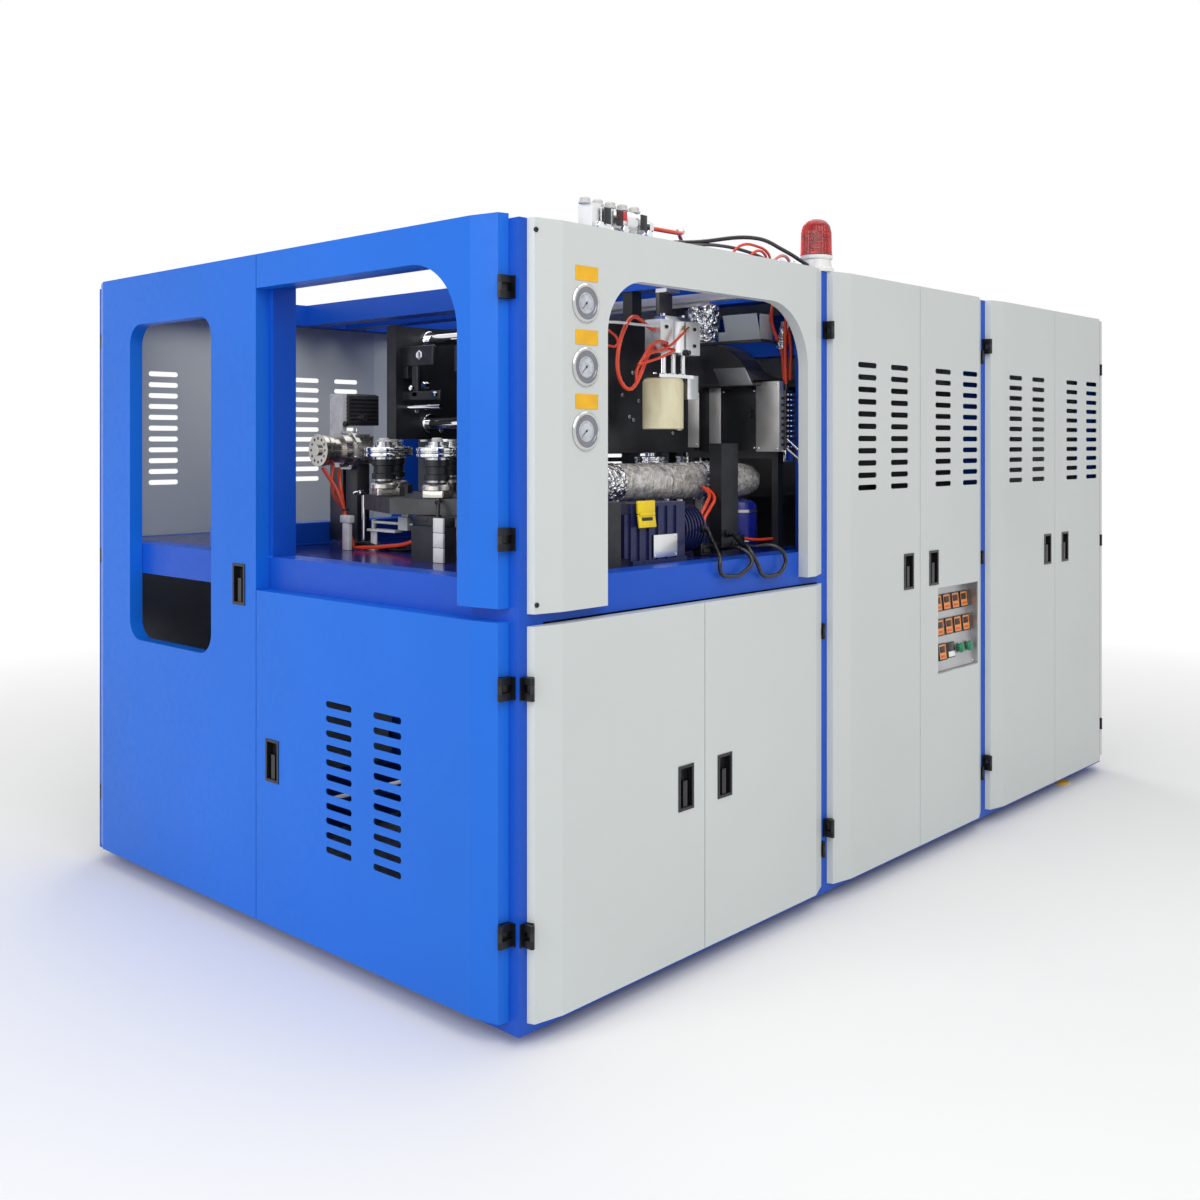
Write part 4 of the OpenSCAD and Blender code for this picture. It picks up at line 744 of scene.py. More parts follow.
# Air hoses: the source's routes made smooth, the loops at the cylinder, and those on the bed and the top
hoses = {
    "radius": 6, "bedRadius": 6.5, "loopRadius": 4.2, "clearRadius": 4, "pinkRadius": 5,
    "long": (((540.8, 75, 1985), (700, 76, 1987), (900, 240, 2034), (1083, 330, 1947.9)),
             ((793.8, 250, 1735), (660, 225, 1750), (640, 225, 1560), (790.8, 245, 1686)),
             ((1285, 95, 1861.5), (1278, 110, 1780), (1305, 131, 1680), (1311, 131, 1567.4)),
             ((388, 1266, 1331.8), (370, 1240, 1240), (380, 1200, 1180), (380, 1200, 1062.3))),
    "loops": (((872, 192, 1728), (818, 205, 1684), (701, 214, 1636), (690, 222, 1600), (700, 232, 1570)),
              ((838, 222, 1676), (786, 205, 1696), (743, 210, 1684), (706, 214, 1640), (690, 226, 1602)),
              ((688, 215, 1624), (760, 205, 1644), (824, 200, 1668), (840, 206, 1675), (840, 222, 1677)),
              ((656, 300, 1726), (690, 296, 1700), (688, 296, 1684), (652, 300, 1681))),
    "bed": (((330, 1240, 1320), (352, 1180, 1230), (360, 1150, 1140), (366, 1140, 1066)),
            ((400, 1250, 1310), (366, 1190, 1240), (358, 1152, 1150), (372, 1130, 1066)),
            ((372, 1120, 1068), (400, 1010, 1076), (420, 900, 1096), (440, 862, 1120))),
    "top": (((940, 76, 1949), (985, 70, 1984), (1060, 66, 1990), (1120, 66, 1974), (1140, 70, 1950)),
            ((1010, 60, 1950), (1040, 52, 1972), (1080, 52, 1968), (1100, 56, 1949))),
    "clear": ((795, 232, 1742), (700, 228, 1741), (560, 230, 1738), (520, 300, 1735), (515, 384, 1735)),
    "pink": ((1140, 70, 1950), (1190, 60, 1975), (1260, 70, 1950), (1300, 74, 1946)),
    "end": ((0, 0), (10, 0), (10, 10), (8, 14), (8, 20), (0, 20)),
    "endPlaces": (((541, 75, 1985), facesFar), ((1083, 330, 1943.4), facesUp),
                  ((1285, 95, 1843.5), facesUp), ((1311, 131, 1567.2), facesUp)),
    "tie": ((5.5, 0), (11, 0), (11, 5), (5.5, 5), (5.5, 0)), "tiePlace": (357, 1156),
    "tieHeights": (1152, 1186),
}


def buildHoses():
    runs = [hoseAlong(route, hoses["radius"], sides=10) for route in hoses["long"]]
    finishPiece(runs, "hose_runs", hoseOrange, stands=("air_hoses",))
    ends = [turned(hoses["end"], place, turn, steps=24) for place, turn in hoses["endPlaces"]]
    finishPiece(ends, "hose_ends", blackCup)
    bundle = [hoseAlong(route, hoses["bedRadius"]) for route in hoses["bed"]]
    finishPiece(bundle, "bed_hoses", hoseOrange)
    small = [hoseAlong(route, hoses["loopRadius"]) for route in hoses["loops"] + hoses["top"]]
    finishPiece(small, "hose_loops", hoseOrange)
    clear = hoseAlong(hoses["clear"], hoses["clearRadius"])
    finishPiece(clear, "clear_hose", whitePlastic)
    pink = hoseAlong(hoses["pink"], hoses["pinkRadius"])
    finishPiece(pink, "pink_hose", pinkTube)
    ties = [turned(hoses["tie"], (*hoses["tiePlace"], z), facesUp, steps=24) for z in hoses["tieHeights"]]
    finishPiece(ties, "hose_ties", blackCup)


buildHoses()
print("stage: air hoses built")

# Cables: smooth runs along the source's routes, with their glands, and two more on the bed
cables = {
    "radius": 6,
    "routes": (
        ((885, 134.2, 1147), (884, 118, 1145), (874, 96, 1124), (846, 56, 1098), (818, 20, 1068),
         (820, 18, 1032), (868, 18, 1018), (928, 18, 1024), (966, 16, 1058), (954, 48, 1090),
         (955, 112, 1086), (972, 168, 1089), (990, 182, 1092), (1009.2, 182, 1092)),
        ((1036, 159.2, 1124), (1036, 142, 1123), (1016, 92, 1100), (978, 38, 1092), (988, 16, 1052),
         (1020, 17, 1012), (1070, 17, 1004), (1122, 17, 1016), (1138, 16, 1052), (1110, 34, 1088),
         (1076, 92, 1086), (1068, 142, 1088), (1068, 159.2, 1088)),
        ((575, 100, 1949.1), (800, 100, 1976), (1050, 60, 2012), (1200, 66, 1994), (1350.2, 78, 1965)),
    ),
    "gland": ((0, 0), (11, 0), (11, 8), (9, 9), (9, 14), (7, 18), (0, 18)),
    "glandPlaces": (((885, 134, 1147), facesFront), ((1036, 160, 1124), facesFront),
                    ((1068, 160, 1088), facesFront), ((1010, 182, 1092), facesEnd)),
    "onBed": ((((370, 1150, 1066), (385, 1120, 1080), (400, 1060, 1074), (430, 960, 1068),
                (455, 850, 1090)), 8),
              (((300, 640, 1165), (320, 660, 1230), (345, 700, 1210), (380, 740, 1100)), 6)),
}


def buildCables():
    runs = [hoseAlong(route, cables["radius"], sides=12) for route in cables["routes"]]
    finishPiece(runs, "cable_runs", cableBlack, stands=("cables",))
    glands = [turned(cables["gland"], place, turn, steps=24) for place, turn in cables["glandPlaces"]]
    finishPiece(glands, "cable_glands", blackCup)
    extra = [hoseAlong(route, radius) for route, radius in cables["onBed"]]
    finishPiece(extra, "bed_cables", cableBlack)


buildCables()
print("stage: cables built")

# Clamp: bolt heads, collars of the tie bars, and the toggle links beside the plates
clamp = {
    "nearY": 385, "farY": 980,
    "nearBolts": ((810, 1544), (884, 1528), (841, 1479), (860, 1470), (857, 1613), (1049, 1430),
                  (600, 1720), (700, 1720), (980, 1720), (1080, 1600)),
    "farBolts": ((500, 1500), (500, 1640), (600, 1440), (1050, 1500)),
    "collar": ((18.2, 0), (30, 0), (30, 9), (28, 12), (18.2, 12), (18.2, 0)),
    "barX": (550, 1070), "barZ": (1462, 1725), "collarY": (443, 980),
    "pinX": 446, "pins": ((883, 1670, 15), (922, 1569, 9), (861, 1576, 11), (814, 1547, 9)),
    "links": (((442, 830, 1638), (456, 982, 1700), 4, 3), ((444, 800, 1532), (454, 982, 1560), 4, 3),
              ((444, 905, 1540), (454, 935, 1680), 4, 3), ((446, 955, 1600), (516, 982, 1690), 3)),
    "toggleRod": ((450, 1000, 1511), (450, 800, 1511), 8),
}


def buildClamp():
    heads = [screwHead((x, clamp["nearY"], z), radius=6.5, tall=5) for x, z in clamp["nearBolts"]]
    heads += [screwHead((x, clamp["farY"], z), radius=9, tall=7) for x, z in clamp["farBolts"]]
    finishPiece(heads, "clamp_bolts", darkChrome)
    places = [(x, y, z) for x in clamp["barX"] for z in clamp["barZ"] for y in clamp["collarY"]]
    collars = [turned(clamp["collar"], place, facesFront, steps=32) for place in places]
    finishPiece(collars, "tie_bar_collars", rodChrome)
    pins = []
    for y, z, radius in clamp["pins"]:
        profile = ((0, 0), (radius, 0), (radius, 14), (radius * 0.8, 17), (0, 17))
        pins.append(nut(profile, (clamp["pinX"], y, z), facesEnd))
    finishPiece(pins, "toggle_pins", rodChrome)
    finishPiece(blocks(clamp["links"]), "toggle_links", blackened)
    finishPiece(rod(*clamp["toggleRod"]), "toggle_rod", rodChrome)


buildClamp()
print("stage: clamp built")

# Transfer table: one station's housing, rings, clips, collar and rims, copied round the hub
station = {
    "centre": (652, 825), "reach": 327, "top": 1237, "first": 22.5, "count": 8,
    "housing": ((-42, -34, 1237.5), (30, 34, 1262), 4, 3),
    "seat": ((28, 0), (44, 0), (44, 12), (40, 16), (28, 16), (28, 0)), "seatZ": 1262,
    "screwX": (-34, 22), "screwY": (-26, 26),
    "ring": ((28, 0), (33, 0), (33, 20), (30, 24), (28, 24), (28, 0)), "ringZ": 1284,
    "clips": (((-9, -52, 1403), (9, -34, 1409), 2), ((-9, 34, 1403), (9, 52, 1409), 2)),
    "mouth": ((8, 0), (16, 0), (16, 10), (13, 13), (8, 13), (8, 0)), "mouthZ": 1402,
    "collar": ((27.5, 0), (37, 0), (37, 16), (32, 18), (32, 40), (37, 42), (37, 60), (27.5, 60), (27.5, 0)),
    "collarZ": 1290,
    "rim": ((56, 0), (60.4, 0), (61.2, 1.5), (61.2, 8), (60.4, 9.5), (56, 9.5), (56, 0)),
    "rimZ": (1358.5, 1375.5),
}


def buildStations():
    middle = (*station["centre"], station["top"])
    x = middle[0] + station["reach"]
    y = middle[1]

    def stationBlock(low, high, edge, steps=2):
        return block((x + low[0], y + low[1], low[2]), (x + high[0], y + high[1], high[2]), edge, steps)

    housing = [stationBlock(*station["housing"])]
    housing.append(turned(station["seat"], (x, y, station["seatZ"]), facesUp, steps=40))
    metal = []
    for dx in station["screwX"]:
        for dy in station["screwY"]:
            metal.append(screwHead((x + dx, y + dy, station["seatZ"]), facesUp, radius=6, tall=5))
    metal.append(turned(station["ring"], (x, y, station["ringZ"]), facesUp, steps=32))
    clips = [stationBlock(*row) for row in station["clips"]]
    clips.append(turned(station["mouth"], (x, y, station["mouthZ"]), facesUp, steps=28))
    collar = [turned(station["collar"], (x, y, station["collarZ"]), facesUp, steps=40)]
    rims = [turned(station["rim"], (x, y, z), facesUp, steps=56) for z in station["rimZ"]]
    for parts, name, look, slotName in ((housing, "station_housings", nickel, "steel"),
                                        (metal, "station_rings", darkChrome, "chrome"),
                                        (clips, "station_clips", castAluminium, "steel"),
                                        (collar, "station_collars", blackened, "black_steel"),
                                        (rims, "station_rims", rodChrome, "chrome")):
        first = joined(parts)
        around = [first]
        for i in range(1, station["count"]):
            around.append(turnAbout(copyOf(first), middle, "Z", 360 / station["count"] * i))
        whole = turnAbout(joined(around), middle, "Z", station["first"])
        finishPiece(whole, name, look, "table")


buildStations()
print("stage: stations built")

# Chuck: the stand, bracket, studs, knob and clips beside its ribbed motor
chuck = {
    "bracket": (((457.6, 1308.4, 1425), (473.6, 1381.6, 1563.4), 1.2),
                ((440, 1300, 1418), (500, 1378, 1424.6), 1.2)),
    "stand": (((458, 1309, 1076.4), (474, 1381, 1417), 1),
              ((460.8, 1234.8, 1076.4), (511.2, 1297.2, 1330), 2)),
    "case": ((474.2, 1301, 1458), (601.4, 1391, 1560), 4, 3),
    "ribs": 7, "ribX": (482, 596), "ribWide": 6, "ribPitch": 13, "ribFoot": 1466, "frontY": (1297.6, 1302),
    "backX": (471.4, 475), "backY": (1306, 1386), "topY": 1308, "topWide": 5, "topPitch": 12,
    "topZ": (1559, 1563),
    "studs": 8, "studCircle": 56, "axis": (1266, 1376), "studX": 438,
    "nose": ((0, 0), (14, 0), (16, 3), (16, 6), (0, 8)), "noseX": 330,
    "clips": (((448, 1218, 1421), (500, 1240, 1428), 1), ((448, 1232, 1421), (454, 1240, 1450), 1)),
    "knob": ((0, 0), (7, 0), (9, 4), (9, 12), (7, 15), (0, 15)), "knobPlace": (470, 1300, 1462),
}


def buildChuck():
    finishPiece(blocks(chuck["bracket"]), "motor_bracket", whitePlastic)
    finishPiece(blocks(chuck["stand"]), "chuck_stand", darkSheet)
    case = [block(*chuck["case"])]
    near, far = chuck["ribX"]
    frontLow, frontHigh = chuck["frontY"]
    topLow, topHigh = chuck["topZ"]
    backLow, backHigh = zip(chuck["backX"], chuck["backY"])
    for i in range(chuck["ribs"]):
        z = chuck["ribFoot"] + chuck["ribPitch"] * i
        y = chuck["topY"] + chuck["topPitch"] * i
        above = z + chuck["ribWide"]
        case.append(block((near, frontLow, z), (far, frontHigh, above), edge=1.4))
        case.append(block((near, y, topLow), (far, y + chuck["topWide"], topHigh), edge=1.4))
        case.append(block((*backLow, z), (*backHigh, above), edge=1.4))
    finishPiece(case, "servo_case", servoDark)
    y, z = chuck["axis"]
    reach = chuck["studCircle"]
    studs = []
    for i in range(chuck["studs"]):
        angle = math.radians(360 / chuck["studs"] * (i + 0.5))
        place = (chuck["studX"], y + reach * math.cos(angle), z + reach * math.sin(angle))
        studs.append(screwHead(place, facesEnd, radius=4.5, tall=4))
    studs.append(turned(chuck["nose"], (chuck["noseX"], y, z), facesEnd, steps=32))
    finishPiece(studs, "chuck_studs", rodChrome)
    finishPiece(blocks(chuck["clips"]), "chuck_clips", steelSheet)
    knob = turned(chuck["knob"], chuck["knobPlace"], facesEnd, steps=24)
    finishPiece(knob, "motor_knob", blackCup)


buildChuck()
print("stage: chuck built")

# Oven mouth: dark and pale covers, the rack's slot and its terminals, and two bright strips
mouth = {
    "cover": (((1273.6, 219, 1374), (1275.8, 360, 1575), 0.8),
              ((1268, 406, 1372), (1269.9, 440, 1580), 0.8)),
    "pale": (((1266.6, 358, 1372), (1269.9, 405, 1580), 1),
             ((1265.4, 126, 1372), (1267.8, 216.6, 1595), 1),
             ((1265.4, 126, 1372), (1290, 128, 1595), 0.8),
             ((1259.4, 443, 1385), (1261.8, 520, 1566), 0.8)),
    "slot": ((1288.6, 128, 1394), (1289.8, 133, 1556), 0.4, 1),
    "terminals": 11, "firstZ": 1384, "pitch": 16.5, "terminalLow": (1296, 112), "terminalHigh": (1330, 119),
    "terminalTall": 7, "screwX": 1312,
    "screws": ((1273.6, (228, 351), (1384, 1566), 3.4), (1265.4, (136, 206), (1382, 1586), 3.2),
               (1259.4, (452, 511), (1394, 1557), 3.2)),
    "stripRods": (((1298, 118, 1412), (1298, 72, 1376), 4), ((1298, 118, 1382), (1298, 72, 1348), 4)),
    "strips": (((1290, 118, 1340), (1334, 128, 1376), 1.5),
               ((1298, 66, 1336), (1338, 78, 1384), 1.5)),
}


def buildMouth():
    finishPiece(blocks(mouth["cover"]), "mouth_cover", blackened)
    finishPiece(blocks(mouth["pale"]), "mouth_plates", palePlate)
    # The slot's opening is a black strip: painted shade
    finishPiece(block(*mouth["slot"]), "rack_slot", inkBlack)
    teeth = []
    for i in range(mouth["terminals"]):
        z = mouth["firstZ"] + mouth["pitch"] * i
        tall = mouth["terminalTall"]
        teeth.append(block((*mouth["terminalLow"], z), (*mouth["terminalHigh"], z + tall)))
        middle = (mouth["screwX"], mouth["terminalLow"][1], z + tall / 2)
        teeth.append(screwHead(middle, radius=2.6, tall=2))
    finishPiece(teeth, "rack_terminals", rodChrome)
    heads = []
    for x, sides, heights, radius in mouth["screws"]:
        heads += [screwHead((x, y, z), facesEnd, radius, tall=2) for y in sides for z in heights]
    finishPiece(heads, "mouth_screws", rodChrome)
    strips = [rod(*row) for row in mouth["stripRods"]] + blocks(mouth["strips"])
    finishPiece(strips, "chrome_strips", rodChrome)


buildMouth()
print("stage: oven mouth built")

# Hot air hood: a bent wedge in front, pale chute sheets above, a foil sleeve and red tubes
hood = {
    "wedge": ((1226, 205, 1584), (1235.8, 330, 1640), 1.5), "wedgeFold": 1620, "wedgeFront": 1231,
    "wedgeLean": 30,
    "rim": (((1234, 173, 1718), (1334, 178, 1729), 1.5),
            ((1233.5, 173, 1718), (1236.5, 522, 1729), 1.2),
            ((1233.5, 173, 1580), (1236.5, 522, 1590), 1.2)),
    "chute": (((1262, 196, 1727), (1266, 330, 1812), 1.5),
              ((1262, 196, 1727), (1330, 200, 1812), 1.5),
              ((1258, 240, 1727), (1262, 360, 1760), 1.5)),
    "chuteFold": 1780, "chuteLean": 22,
    "foil": {"inner": 47, "outer": 51.5, "long": 128, "step": 6, "place": (1284, 440, 1724),
             "turn": facesUp},
    "foilFold": (2.6, 26, 3), "bundleFold": (2.4, 14, 9),
    "tubes": ((((1325, 190, 1858), (1312, 188, 1800), (1316, 180, 1756), (1326, 160, 1700),
                (1328, 150, 1600)), 6),
              (((1330, 140, 1850), (1322, 136, 1790), (1330, 128, 1720), (1330, 130, 1600)), 6),
              (((1270, 480, 1862), (1262, 470, 1830), (1258, 452, 1796), (1262, 440, 1760)), 8)),
    "bundle": {"inner": 9, "outer": 17, "long": 84, "step": 6, "place": (1326, 158, 1702),
               "turn": (12, 0, 0), "steps": 32},
}


def buildHood():
    wedge = block(*hood["wedge"])
    for vertex in wedge.data.vertices:
        if vertex.co.z > at(0, 0, hood["wedgeFold"]).z:
            vertex.co.x = max(vertex.co.x, at(hood["wedgeFront"], 0, 0).x)
            vertex.co.y += hood["wedgeLean"] / 1000
    finishPiece(wedge, "hood_wedge", steelSheet)
    finishPiece(blocks(hood["rim"]), "hood_rim", darkSheet)
    chute = blocks(hood["chute"])
    for vertex in chute[0].data.vertices:
        if vertex.co.z > at(0, 0, hood["chuteFold"]).z:
            vertex.co.x -= hood["chuteLean"] / 1000
    finishPiece(chute, "chute_sheets", greyCoat)
    finishPiece(crumple(sleeve(**hood["foil"]), *hood["foilFold"]), "hood_foil", foil)
    tubes = [hoseAlong(route, radius) for route, radius in hood["tubes"]]
    finishPiece(tubes, "hood_tubes", hoseOrange)
    finishPiece(crumple(sleeve(**hood["bundle"]), *hood["bundleFold"]), "foil_bundle", foil)


buildHood()
print("stage: hood built")

# Wrapped duct: film over the whole length with its bands, foil at both ends, and the closed point
duct = {
    "axis": (300, 1283),
    "film": {"x": 602, "inner": 53, "outer": 55.4, "long": 616, "step": 9, "steps": 72,
             "fold": (1.7, 20, 1)},
    "bands": (700, 792, 884, 976), "bandFold": (0.8, 14),
    "band": {"inner": 54, "outer": 57.6, "long": 10, "step": 3, "steps": 56},
    "near": {"x": 600, "inner": 54, "outer": 58, "long": 72, "step": 6, "steps": 64, "fold": (2.8, 24, 4)},
    "far": {"x": 1054, "inner": 54, "outer": 58, "long": 138, "step": 6, "steps": 64, "fold": (2.8, 24, 7)},
    "point": ((46, 0), (57, 4), (58, 26), (57, 60), (54, 92), (51, 124), (44, 148), (26, 166), (10, 172),
              (0, 173), (0, 168), (24, 161), (44, 140), (46, 0)),
    "pointPlace": (1190, 296, 1280), "pointFold": (2.4, 30, 5),
}


def wrapped(x, inner, outer, long, step, steps, fold):
    # A crumpled sleeve round the duct's axis; fold is its depth, size and drift
    return crumple(sleeve(inner, outer, long, step, (x, *duct["axis"]), facesFar, steps), *fold)


def buildDuct():
    finishPiece(wrapped(**duct["film"]), "duct_film", bubble)
    bands = [wrapped(x, fold=(*duct["bandFold"], x), **duct["band"]) for x in duct["bands"]]
    finishPiece(bands, "duct_bands", bubble)
    finishPiece([wrapped(**duct["near"]), wrapped(**duct["far"])], "duct_foil", foil)
    point = turned(duct["point"], duct["pointPlace"], facesFar, steps=56)
    finishPiece(crumple(point, *duct["pointFold"]), "duct_point", bubble)


buildDuct()
print("stage: duct built")

# Drive unit: the latch with its slot, a bare plate, and the vessel, tubes and connectors beside it
drive = {
    "latch": (((574, 116, 1204), (648, 124.5, 1240), 2.5, 3), ((574, 116, 1165), (648, 122, 1203), 2.5, 3),
              ((578, 112, 1198), (644, 118, 1208), 2, 3)),
    "latchHinge": (0, 118, 1203), "latchLean": -8,
    "slot": ((588, 112.4, 1184), (634, 117, 1194), 2),
    "plate": ((648, 121.6, 1078), (752, 123.9, 1142), 0.8), "plateScrewX": (654, 746),
    "plateScrewZ": (1084, 1136),
    "vessel": ((0, 0), (57, 0), (58, 3), (58, 138), (52, 150), (34, 156), (18, 158), (0, 158)),
    "vesselPlace": (1221, 252), "hoop": ((57, 0), (60, 0), (60, 9), (57, 9), (57, 0)),
    "hoopZ": (1088, 1180),
    "feed": ((((897, 140, 1141), (912, 150, 1172), (960, 165, 1204), (1000, 180, 1236),
               (1004, 210, 1262)), 5.5),
             (((885, 146, 1150), (902, 156, 1182), (950, 172, 1216), (990, 192, 1246),
               (996, 220, 1266)), 5.5),
             (((1135, 180, 1106), (1200, 176, 1096), (1300, 170, 1094), (1338, 166, 1094)), 5)),
    "joint": (((922, 168, machine["onBed"]), (968, 200, 1094), 3, 3),
              ((928, 164, 1070), (962, 169, 1086), 1.5),
              ((1098, 166, machine["onBed"]), (1138, 196, 1116), 3, 3)),
    "bolt": ((0, 0), (9, 0), (9, 5), (0, 5)), "boltX": (560, 796), "boltY": (150, 200), "boltZ": 1232,
}


def buildDrive():
    latch = blocks(drive["latch"])
    turnAbout(latch[1], drive["latchHinge"], "X", drive["latchLean"])
    finishPiece(latch, "drive_latch", brightYellow)
    # The slot's opening is a black block: painted shade
    finishPiece(block(*drive["slot"]), "latch_slot", inkBlack)
    plate = [block(*drive["plate"])]
    y = drive["plate"][0][1]
    for x in drive["plateScrewX"]:
        plate += [screwHead((x, y, z), radius=2.6, tall=1.4) for z in drive["plateScrewZ"]]
    finishPiece(plate, "drive_plate", aluminium)
    vessel = turned(drive["vessel"], (*drive["vesselPlace"], machine["onBed"]), facesUp, steps=64)
    finishPiece(vessel, "air_vessel", vesselBlue)
    hoops = [turned(drive["hoop"], (*drive["vesselPlace"], z), facesUp, steps=64) for z in drive["hoopZ"]]
    finishPiece(hoops, "vessel_hoops", darkChrome)
    feed = [hoseAlong(route, radius) for route, radius in drive["feed"]]
    finishPiece(feed, "feed_tubes", hoseOrange)
    finishPiece(blocks(drive["joint"]), "cable_connector", blackCup)
    bolts = [nut(drive["bolt"], (x, y, drive["boltZ"])) for y in drive["boltY"] for x in drive["boltX"]]
    finishPiece(bolts, "drive_bolts", darkChrome)


buildDrive()
print("stage: drive unit built")

# Pieces that stand on the bed behind the blue arch, one row of blocks each
onBed = machine["onBed"]
bedPieces = {
    "leg": (((404, 796, onBed), (446, 856, 1188), 2), ((396, 786, onBed), (454, 866, onBed + 10), 2)),
    "tray": (((386, 945, 1122), (420, 1084, 1130), 1.2), ((398, 1050, onBed), (403, 1080, 1123), 1),
             ((386, 1046, onBed), (420, 1084, onBed + 4), 1)),
    "railRod": ((410, 857, 1150), (410, 1084, 1150), 4.5),
    "railEnd": ((404, 1074, 1130), (416, 1084, 1158), 1.5),
    "switch": (((396, 896, 1130), (424, 942, 1172), 3, 3), ((404, 902, 1172), (416, 934, 1182), 2)),
    "pillar": (((400, 664, onBed), (420, 738, 1104), 2), ((400, 664, 1105), (420, 738, 1144), 2),
               ((400, 664, 1145), (420, 738, 1186), 2)),
    "boxes": (((330, 1100, 1148), (352, 1150, 1172), 3, 3), ((334, 1108, onBed), (348, 1142, 1149), 2)),
    "nozzle": ((0, 0), (9, 0), (9, 14), (6, 18), (6, 30), (3.5, 36), (0, 36)),
    "nozzlePlace": (420, 1150, 1240),
    "nozzlePost": ((424, 1150, onBed), (424, 1150, 1240), 7),
}


def buildBedPieces():
    finishPiece(blocks(bedPieces["leg"]), "table_leg", blackened)
    finishPiece(blocks(bedPieces["tray"]), "tray_plate", whitePlastic)
    rail = [rod(*bedPieces["railRod"]), block(*bedPieces["railEnd"])]
    finishPiece(rail, "white_rail", whitePlastic)
    finishPiece(blocks(bedPieces["switch"]), "grey_switch", greyCoat)
    finishPiece(blocks(bedPieces["pillar"]), "pale_pillar", castAluminium)
    finishPiece(blocks(bedPieces["boxes"]), "white_boxes", whitePlastic)
    nozzle = [turned(bedPieces["nozzle"], bedPieces["nozzlePlace"], facesEnd, steps=24),
              rod(*bedPieces["nozzlePost"])]
    finishPiece(nozzle, "air_nozzle", rodChrome)


buildBedPieces()
print("stage: pieces on the bed built")

# The rail under the roof beams, a dark block of painted shade below the beams, the long beam on the bed and
# the column beside it
carriers = {
    "roofRail": (((1041, 121, 1838), (1043.4, 1019, 1862), 0.8),
                 ((1041, 116.5, 1836.5), (1164, 124, 1862), 1.5),
                 ((1062, 250, 1826), (1068, 700, 1838), 1)),
    "shadeBlock": ((858.6, 278.8, 1777.5), (921.4, 292.8, 1862.4), 1.2),
    "bedRail": (((60, 1384, onBed), (1300, 1464, 1136), 4, 3),
                ((60, 1378, onBed), (1300, 1384, 1068), 1.5)),
    "pads": (((253.4, 561, onBed), (261.6, 604, 1104), 2),
             ((253.4, 561, 1105), (261.6, 604, 1146), 2),
             ((253.4, 561, 1147), (261.6, 604, 1188), 2)),
    "head": (((264, 562, 1162), (300, 708, 1189), 2), ((262.4, 640, 1176), (264.4, 700, 1189), 0.8)),
}


def buildCarriers():
    finishPiece(blocks(carriers["roofRail"]), "roof_rail", palePlate)
    # A dark sheet block below the roof beams, where there is only shade: painted shade
    finishPiece(block(*carriers["shadeBlock"]), "painted_shade_block", darkSheet)
    finishPiece(blocks(carriers["bedRail"]), "bed_rail", shadedFrameCoat)
    finishPiece(blocks(carriers["pads"]), "column_pads", whitePlastic)
    finishPiece(blocks(carriers["head"]), "column_head", blackened)


buildCarriers()
print("stage: rails and hanger built")

# Valves on the roof beam: caps, dark fronts, a red patch and nuts, and the fittings along the beam
onBeam = machine["onBeam"]
valves = {
    "count": 5, "firstX": 318, "pitch": 48, "capPlace": (75, 2016.6),
    "cap": ((0, 0), (17, 0), (17, 4), (14, 6), (14, 13), (11, 16), (0, 16)),
    "darkFronts": (1, 2, 4), "frontX": (304, 330), "frontY": (38, 41), "frontZ": (1966, 2008),
    "patch": ((402, 36.8, 1982), (440, 38.6, 2006), 1),
    "nut": ((0, 0), (13, 0), (13, 9), (11, 11), (0, 11)), "nutX": (330, 426, 522), "nutPlace": (38, 1956),
    "outlet": ((8, 0), (20, 0), (20, 16), (17, 19), (8, 19), (8, 0)), "outletPlace": (556, 75, 1985),
    "brownRadius": 5,
    "brownHose": ((600, 84, 1950), (760, 92, 1962), (900, 96, 1978), (1060, 92, 1974), (1200, 88, 1950)),
    "clips": (((836, 88, onBeam), (850, 112, 1952), 1.5),
              ((1140, 52, onBeam), (1160, 92, 1952), 1.5)),
    "stud": ((0, 0), (11, 0), (11, 16), (8, 20), (0, 20)), "studPlaces": ((1180, 60), (1236, 58)),
}


def buildValves():
    caps = []
    for i in range(valves["count"]):
        place = (valves["firstX"] + valves["pitch"] * i, *valves["capPlace"])
        caps.append(turned(valves["cap"], place, facesUp, steps=36))
    finishPiece(caps, "valve_caps", castAluminium)
    low, high = zip(valves["frontX"], valves["frontY"], valves["frontZ"])
    fronts = []
    for i in valves["darkFronts"]:
        along = valves["pitch"] * i
        fronts.append(block((low[0] + along, *low[1:]), (high[0] + along, *high[1:]), edge=1.2))
    finishPiece(fronts, "valve_fronts", blackCup)
    finishPiece(block(*valves["patch"]), "valve_patch", lensRed)
    nuts = [nut(valves["nut"], (x, *valves["nutPlace"]), facesFront) for x in valves["nutX"]]
    nuts.append(nut(valves["outlet"], valves["outletPlace"], facesFar))
    finishPiece(nuts, "valve_nuts", rodChrome)
    brown = hoseAlong(valves["brownHose"], valves["brownRadius"], sides=10)
    finishPiece(brown, "brown_hose", brownTube)
    fittings = blocks(valves["clips"])
    fittings += [nut(valves["stud"], (x, y, onBeam)) for x, y in valves["studPlaces"]]
    finishPiece(fittings, "roof_fittings", rodChrome)


buildValves()
print("stage: valves built")

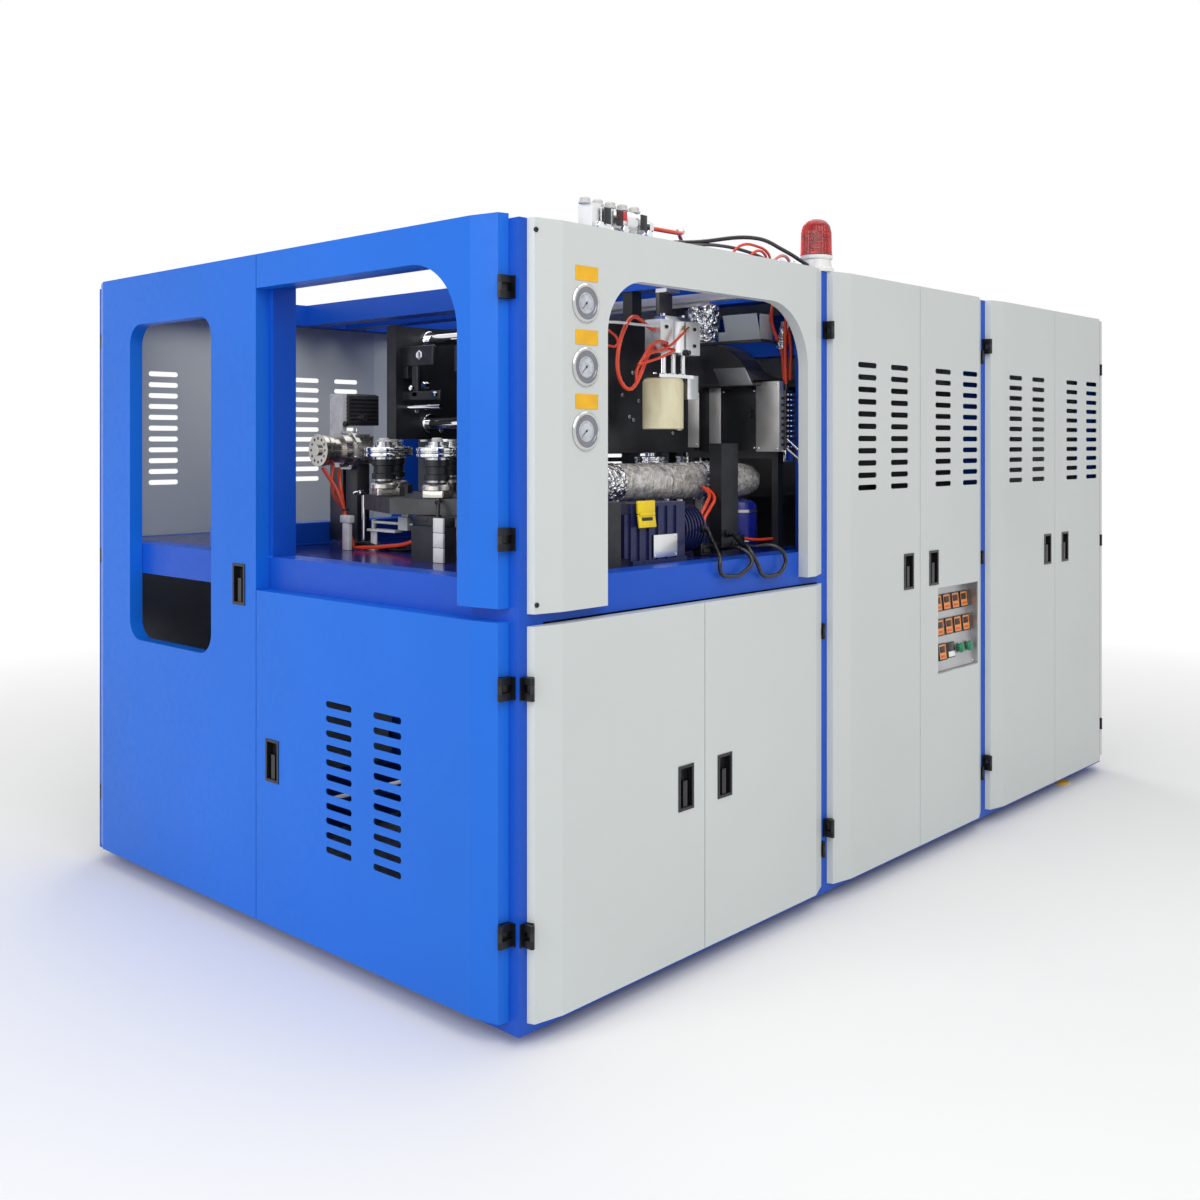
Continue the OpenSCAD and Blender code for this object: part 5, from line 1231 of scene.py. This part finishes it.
# Console behind the window: blocks on the tilted plate, placed from the middle of each controller's cell
console = {
    "door": "second_right_door", "place": (2068, 14, 582), "tilt": -6, "first": (64, 66), "step": (66, 87),
    "cells": ((0, 0), (0, 1), (1, 1), (2, 1), (3, 1), (0, 2), (1, 2), (2, 2), (3, 2)),
    "displays": (((-17, -5.6, -3), (17, -2.6, 20), 1),),
    "digits": (((-13, -6.2, 8), (-2, -5.4, 16), 0.5), ((1, -6.2, 8), (12, -5.4, 16), 0.5),
               ((-3, -6.2, -1), (12, -5.4, 4), 0.5)),
    "marks": (((-16, -5.8, -20), (16, -4.8, -12), 1.2),),
    "frames": (((-30, -7, -30), (-26, -0.5, 30), 1), ((26, -7, -30), (30, -0.5, 30), 1),
               ((-30, -7, -30), (30, -0.5, -26), 1), ((-30, -7, 26), (30, -0.5, 30), 1)),
    "meterCell": (1, 0), "meter": ((-28, -5, -28), (28, 0, 28), 2.5, 3),
    "window": ((-24, -6, -2), (24, -4.8, 24), 1.2), "lower": ((-24, -6, -24), (24, -4.8, -5), 1.2),
    "screwX": (10, 294), "screwZ": (10, 288), "screwOut": 0.2,
}


def onConsole(cell, low, high, edge, steps=2):
    x, y, z = console["place"]
    x += console["first"][0] + console["step"][0] * cell[0]
    z += console["first"][1] + console["step"][1] * cell[1]
    start = (x + low[0], y + low[1], z + low[2])
    end = (x + high[0], y + high[1], z + high[2])
    piece = block(start, end, edge, steps)
    return turnAbout(piece, console["place"], "X", console["tilt"])


def buildConsole():
    door = console["door"]
    for key, look, slotName in (("displays", inkBlack, "black"), ("digits", digitRed, "red_lens"),
                                ("marks", deepOrange, "orange_case"), ("frames", blackCup, "black")):
        parts = [onConsole(cell, *row) for cell in console["cells"] for row in console[key]]
        finishPiece(parts, "console_" + key, look, door)
    for key, name, look, slotName in (("meter", "console_meter", blackCup, "black"),
                                      ("window", "meter_window", displayDark, "black"),
                                      ("lower", "meter_plate", aluminium, "steel")):
        finishPiece(onConsole(console["meterCell"], *console[key]), name, look, door)
    screws = []
    left, front, foot = console["place"]
    for dx in console["screwX"]:
        for dz in console["screwZ"]:
            screw = screwHead((left + dx, front - console["screwOut"], foot + dz), radius=3.4, tall=2)
            screws.append(turnAbout(screw, console["place"], "X", console["tilt"]))
    finishPiece(screws, "console_screws", rodChrome, door)


buildConsole()
print("stage: console built")

# Weld beads where the tubes meet, each from start to end
weld = {
    "radius": 3.2, "depth": 0.8, "size": 7, "drift": 2,
    "beads": (((856, 115.5, 1863.6), (856, 115.5, 1942)), ((936, 115.5, 1863.6), (936, 115.5, 1942)),
              ((1043, 115.5, 1863.6), (1043, 115.5, 1942)), ((1123, 115.5, 1863.6), (1123, 115.5, 1942)),
              ((1340, 115.8, 1680), (1340, 115.8, 1756)), ((1420, 115.8, 1680), (1420, 115.8, 1756)),
              ((46, 1085, 962), (46, 1165, 962)), ((46, 1085, 1062), (46, 1165, 1062))),
}


def buildWelds():
    beads = []
    for start, end in weld["beads"]:
        bead = rod(start, end, weld["radius"], sides=8)
        beads.append(crumple(bead, weld["depth"], weld["size"], weld["drift"]))
    finishPiece(beads, "weld_beads", blueCoat)


buildWelds()
print("stage: weld beads built")
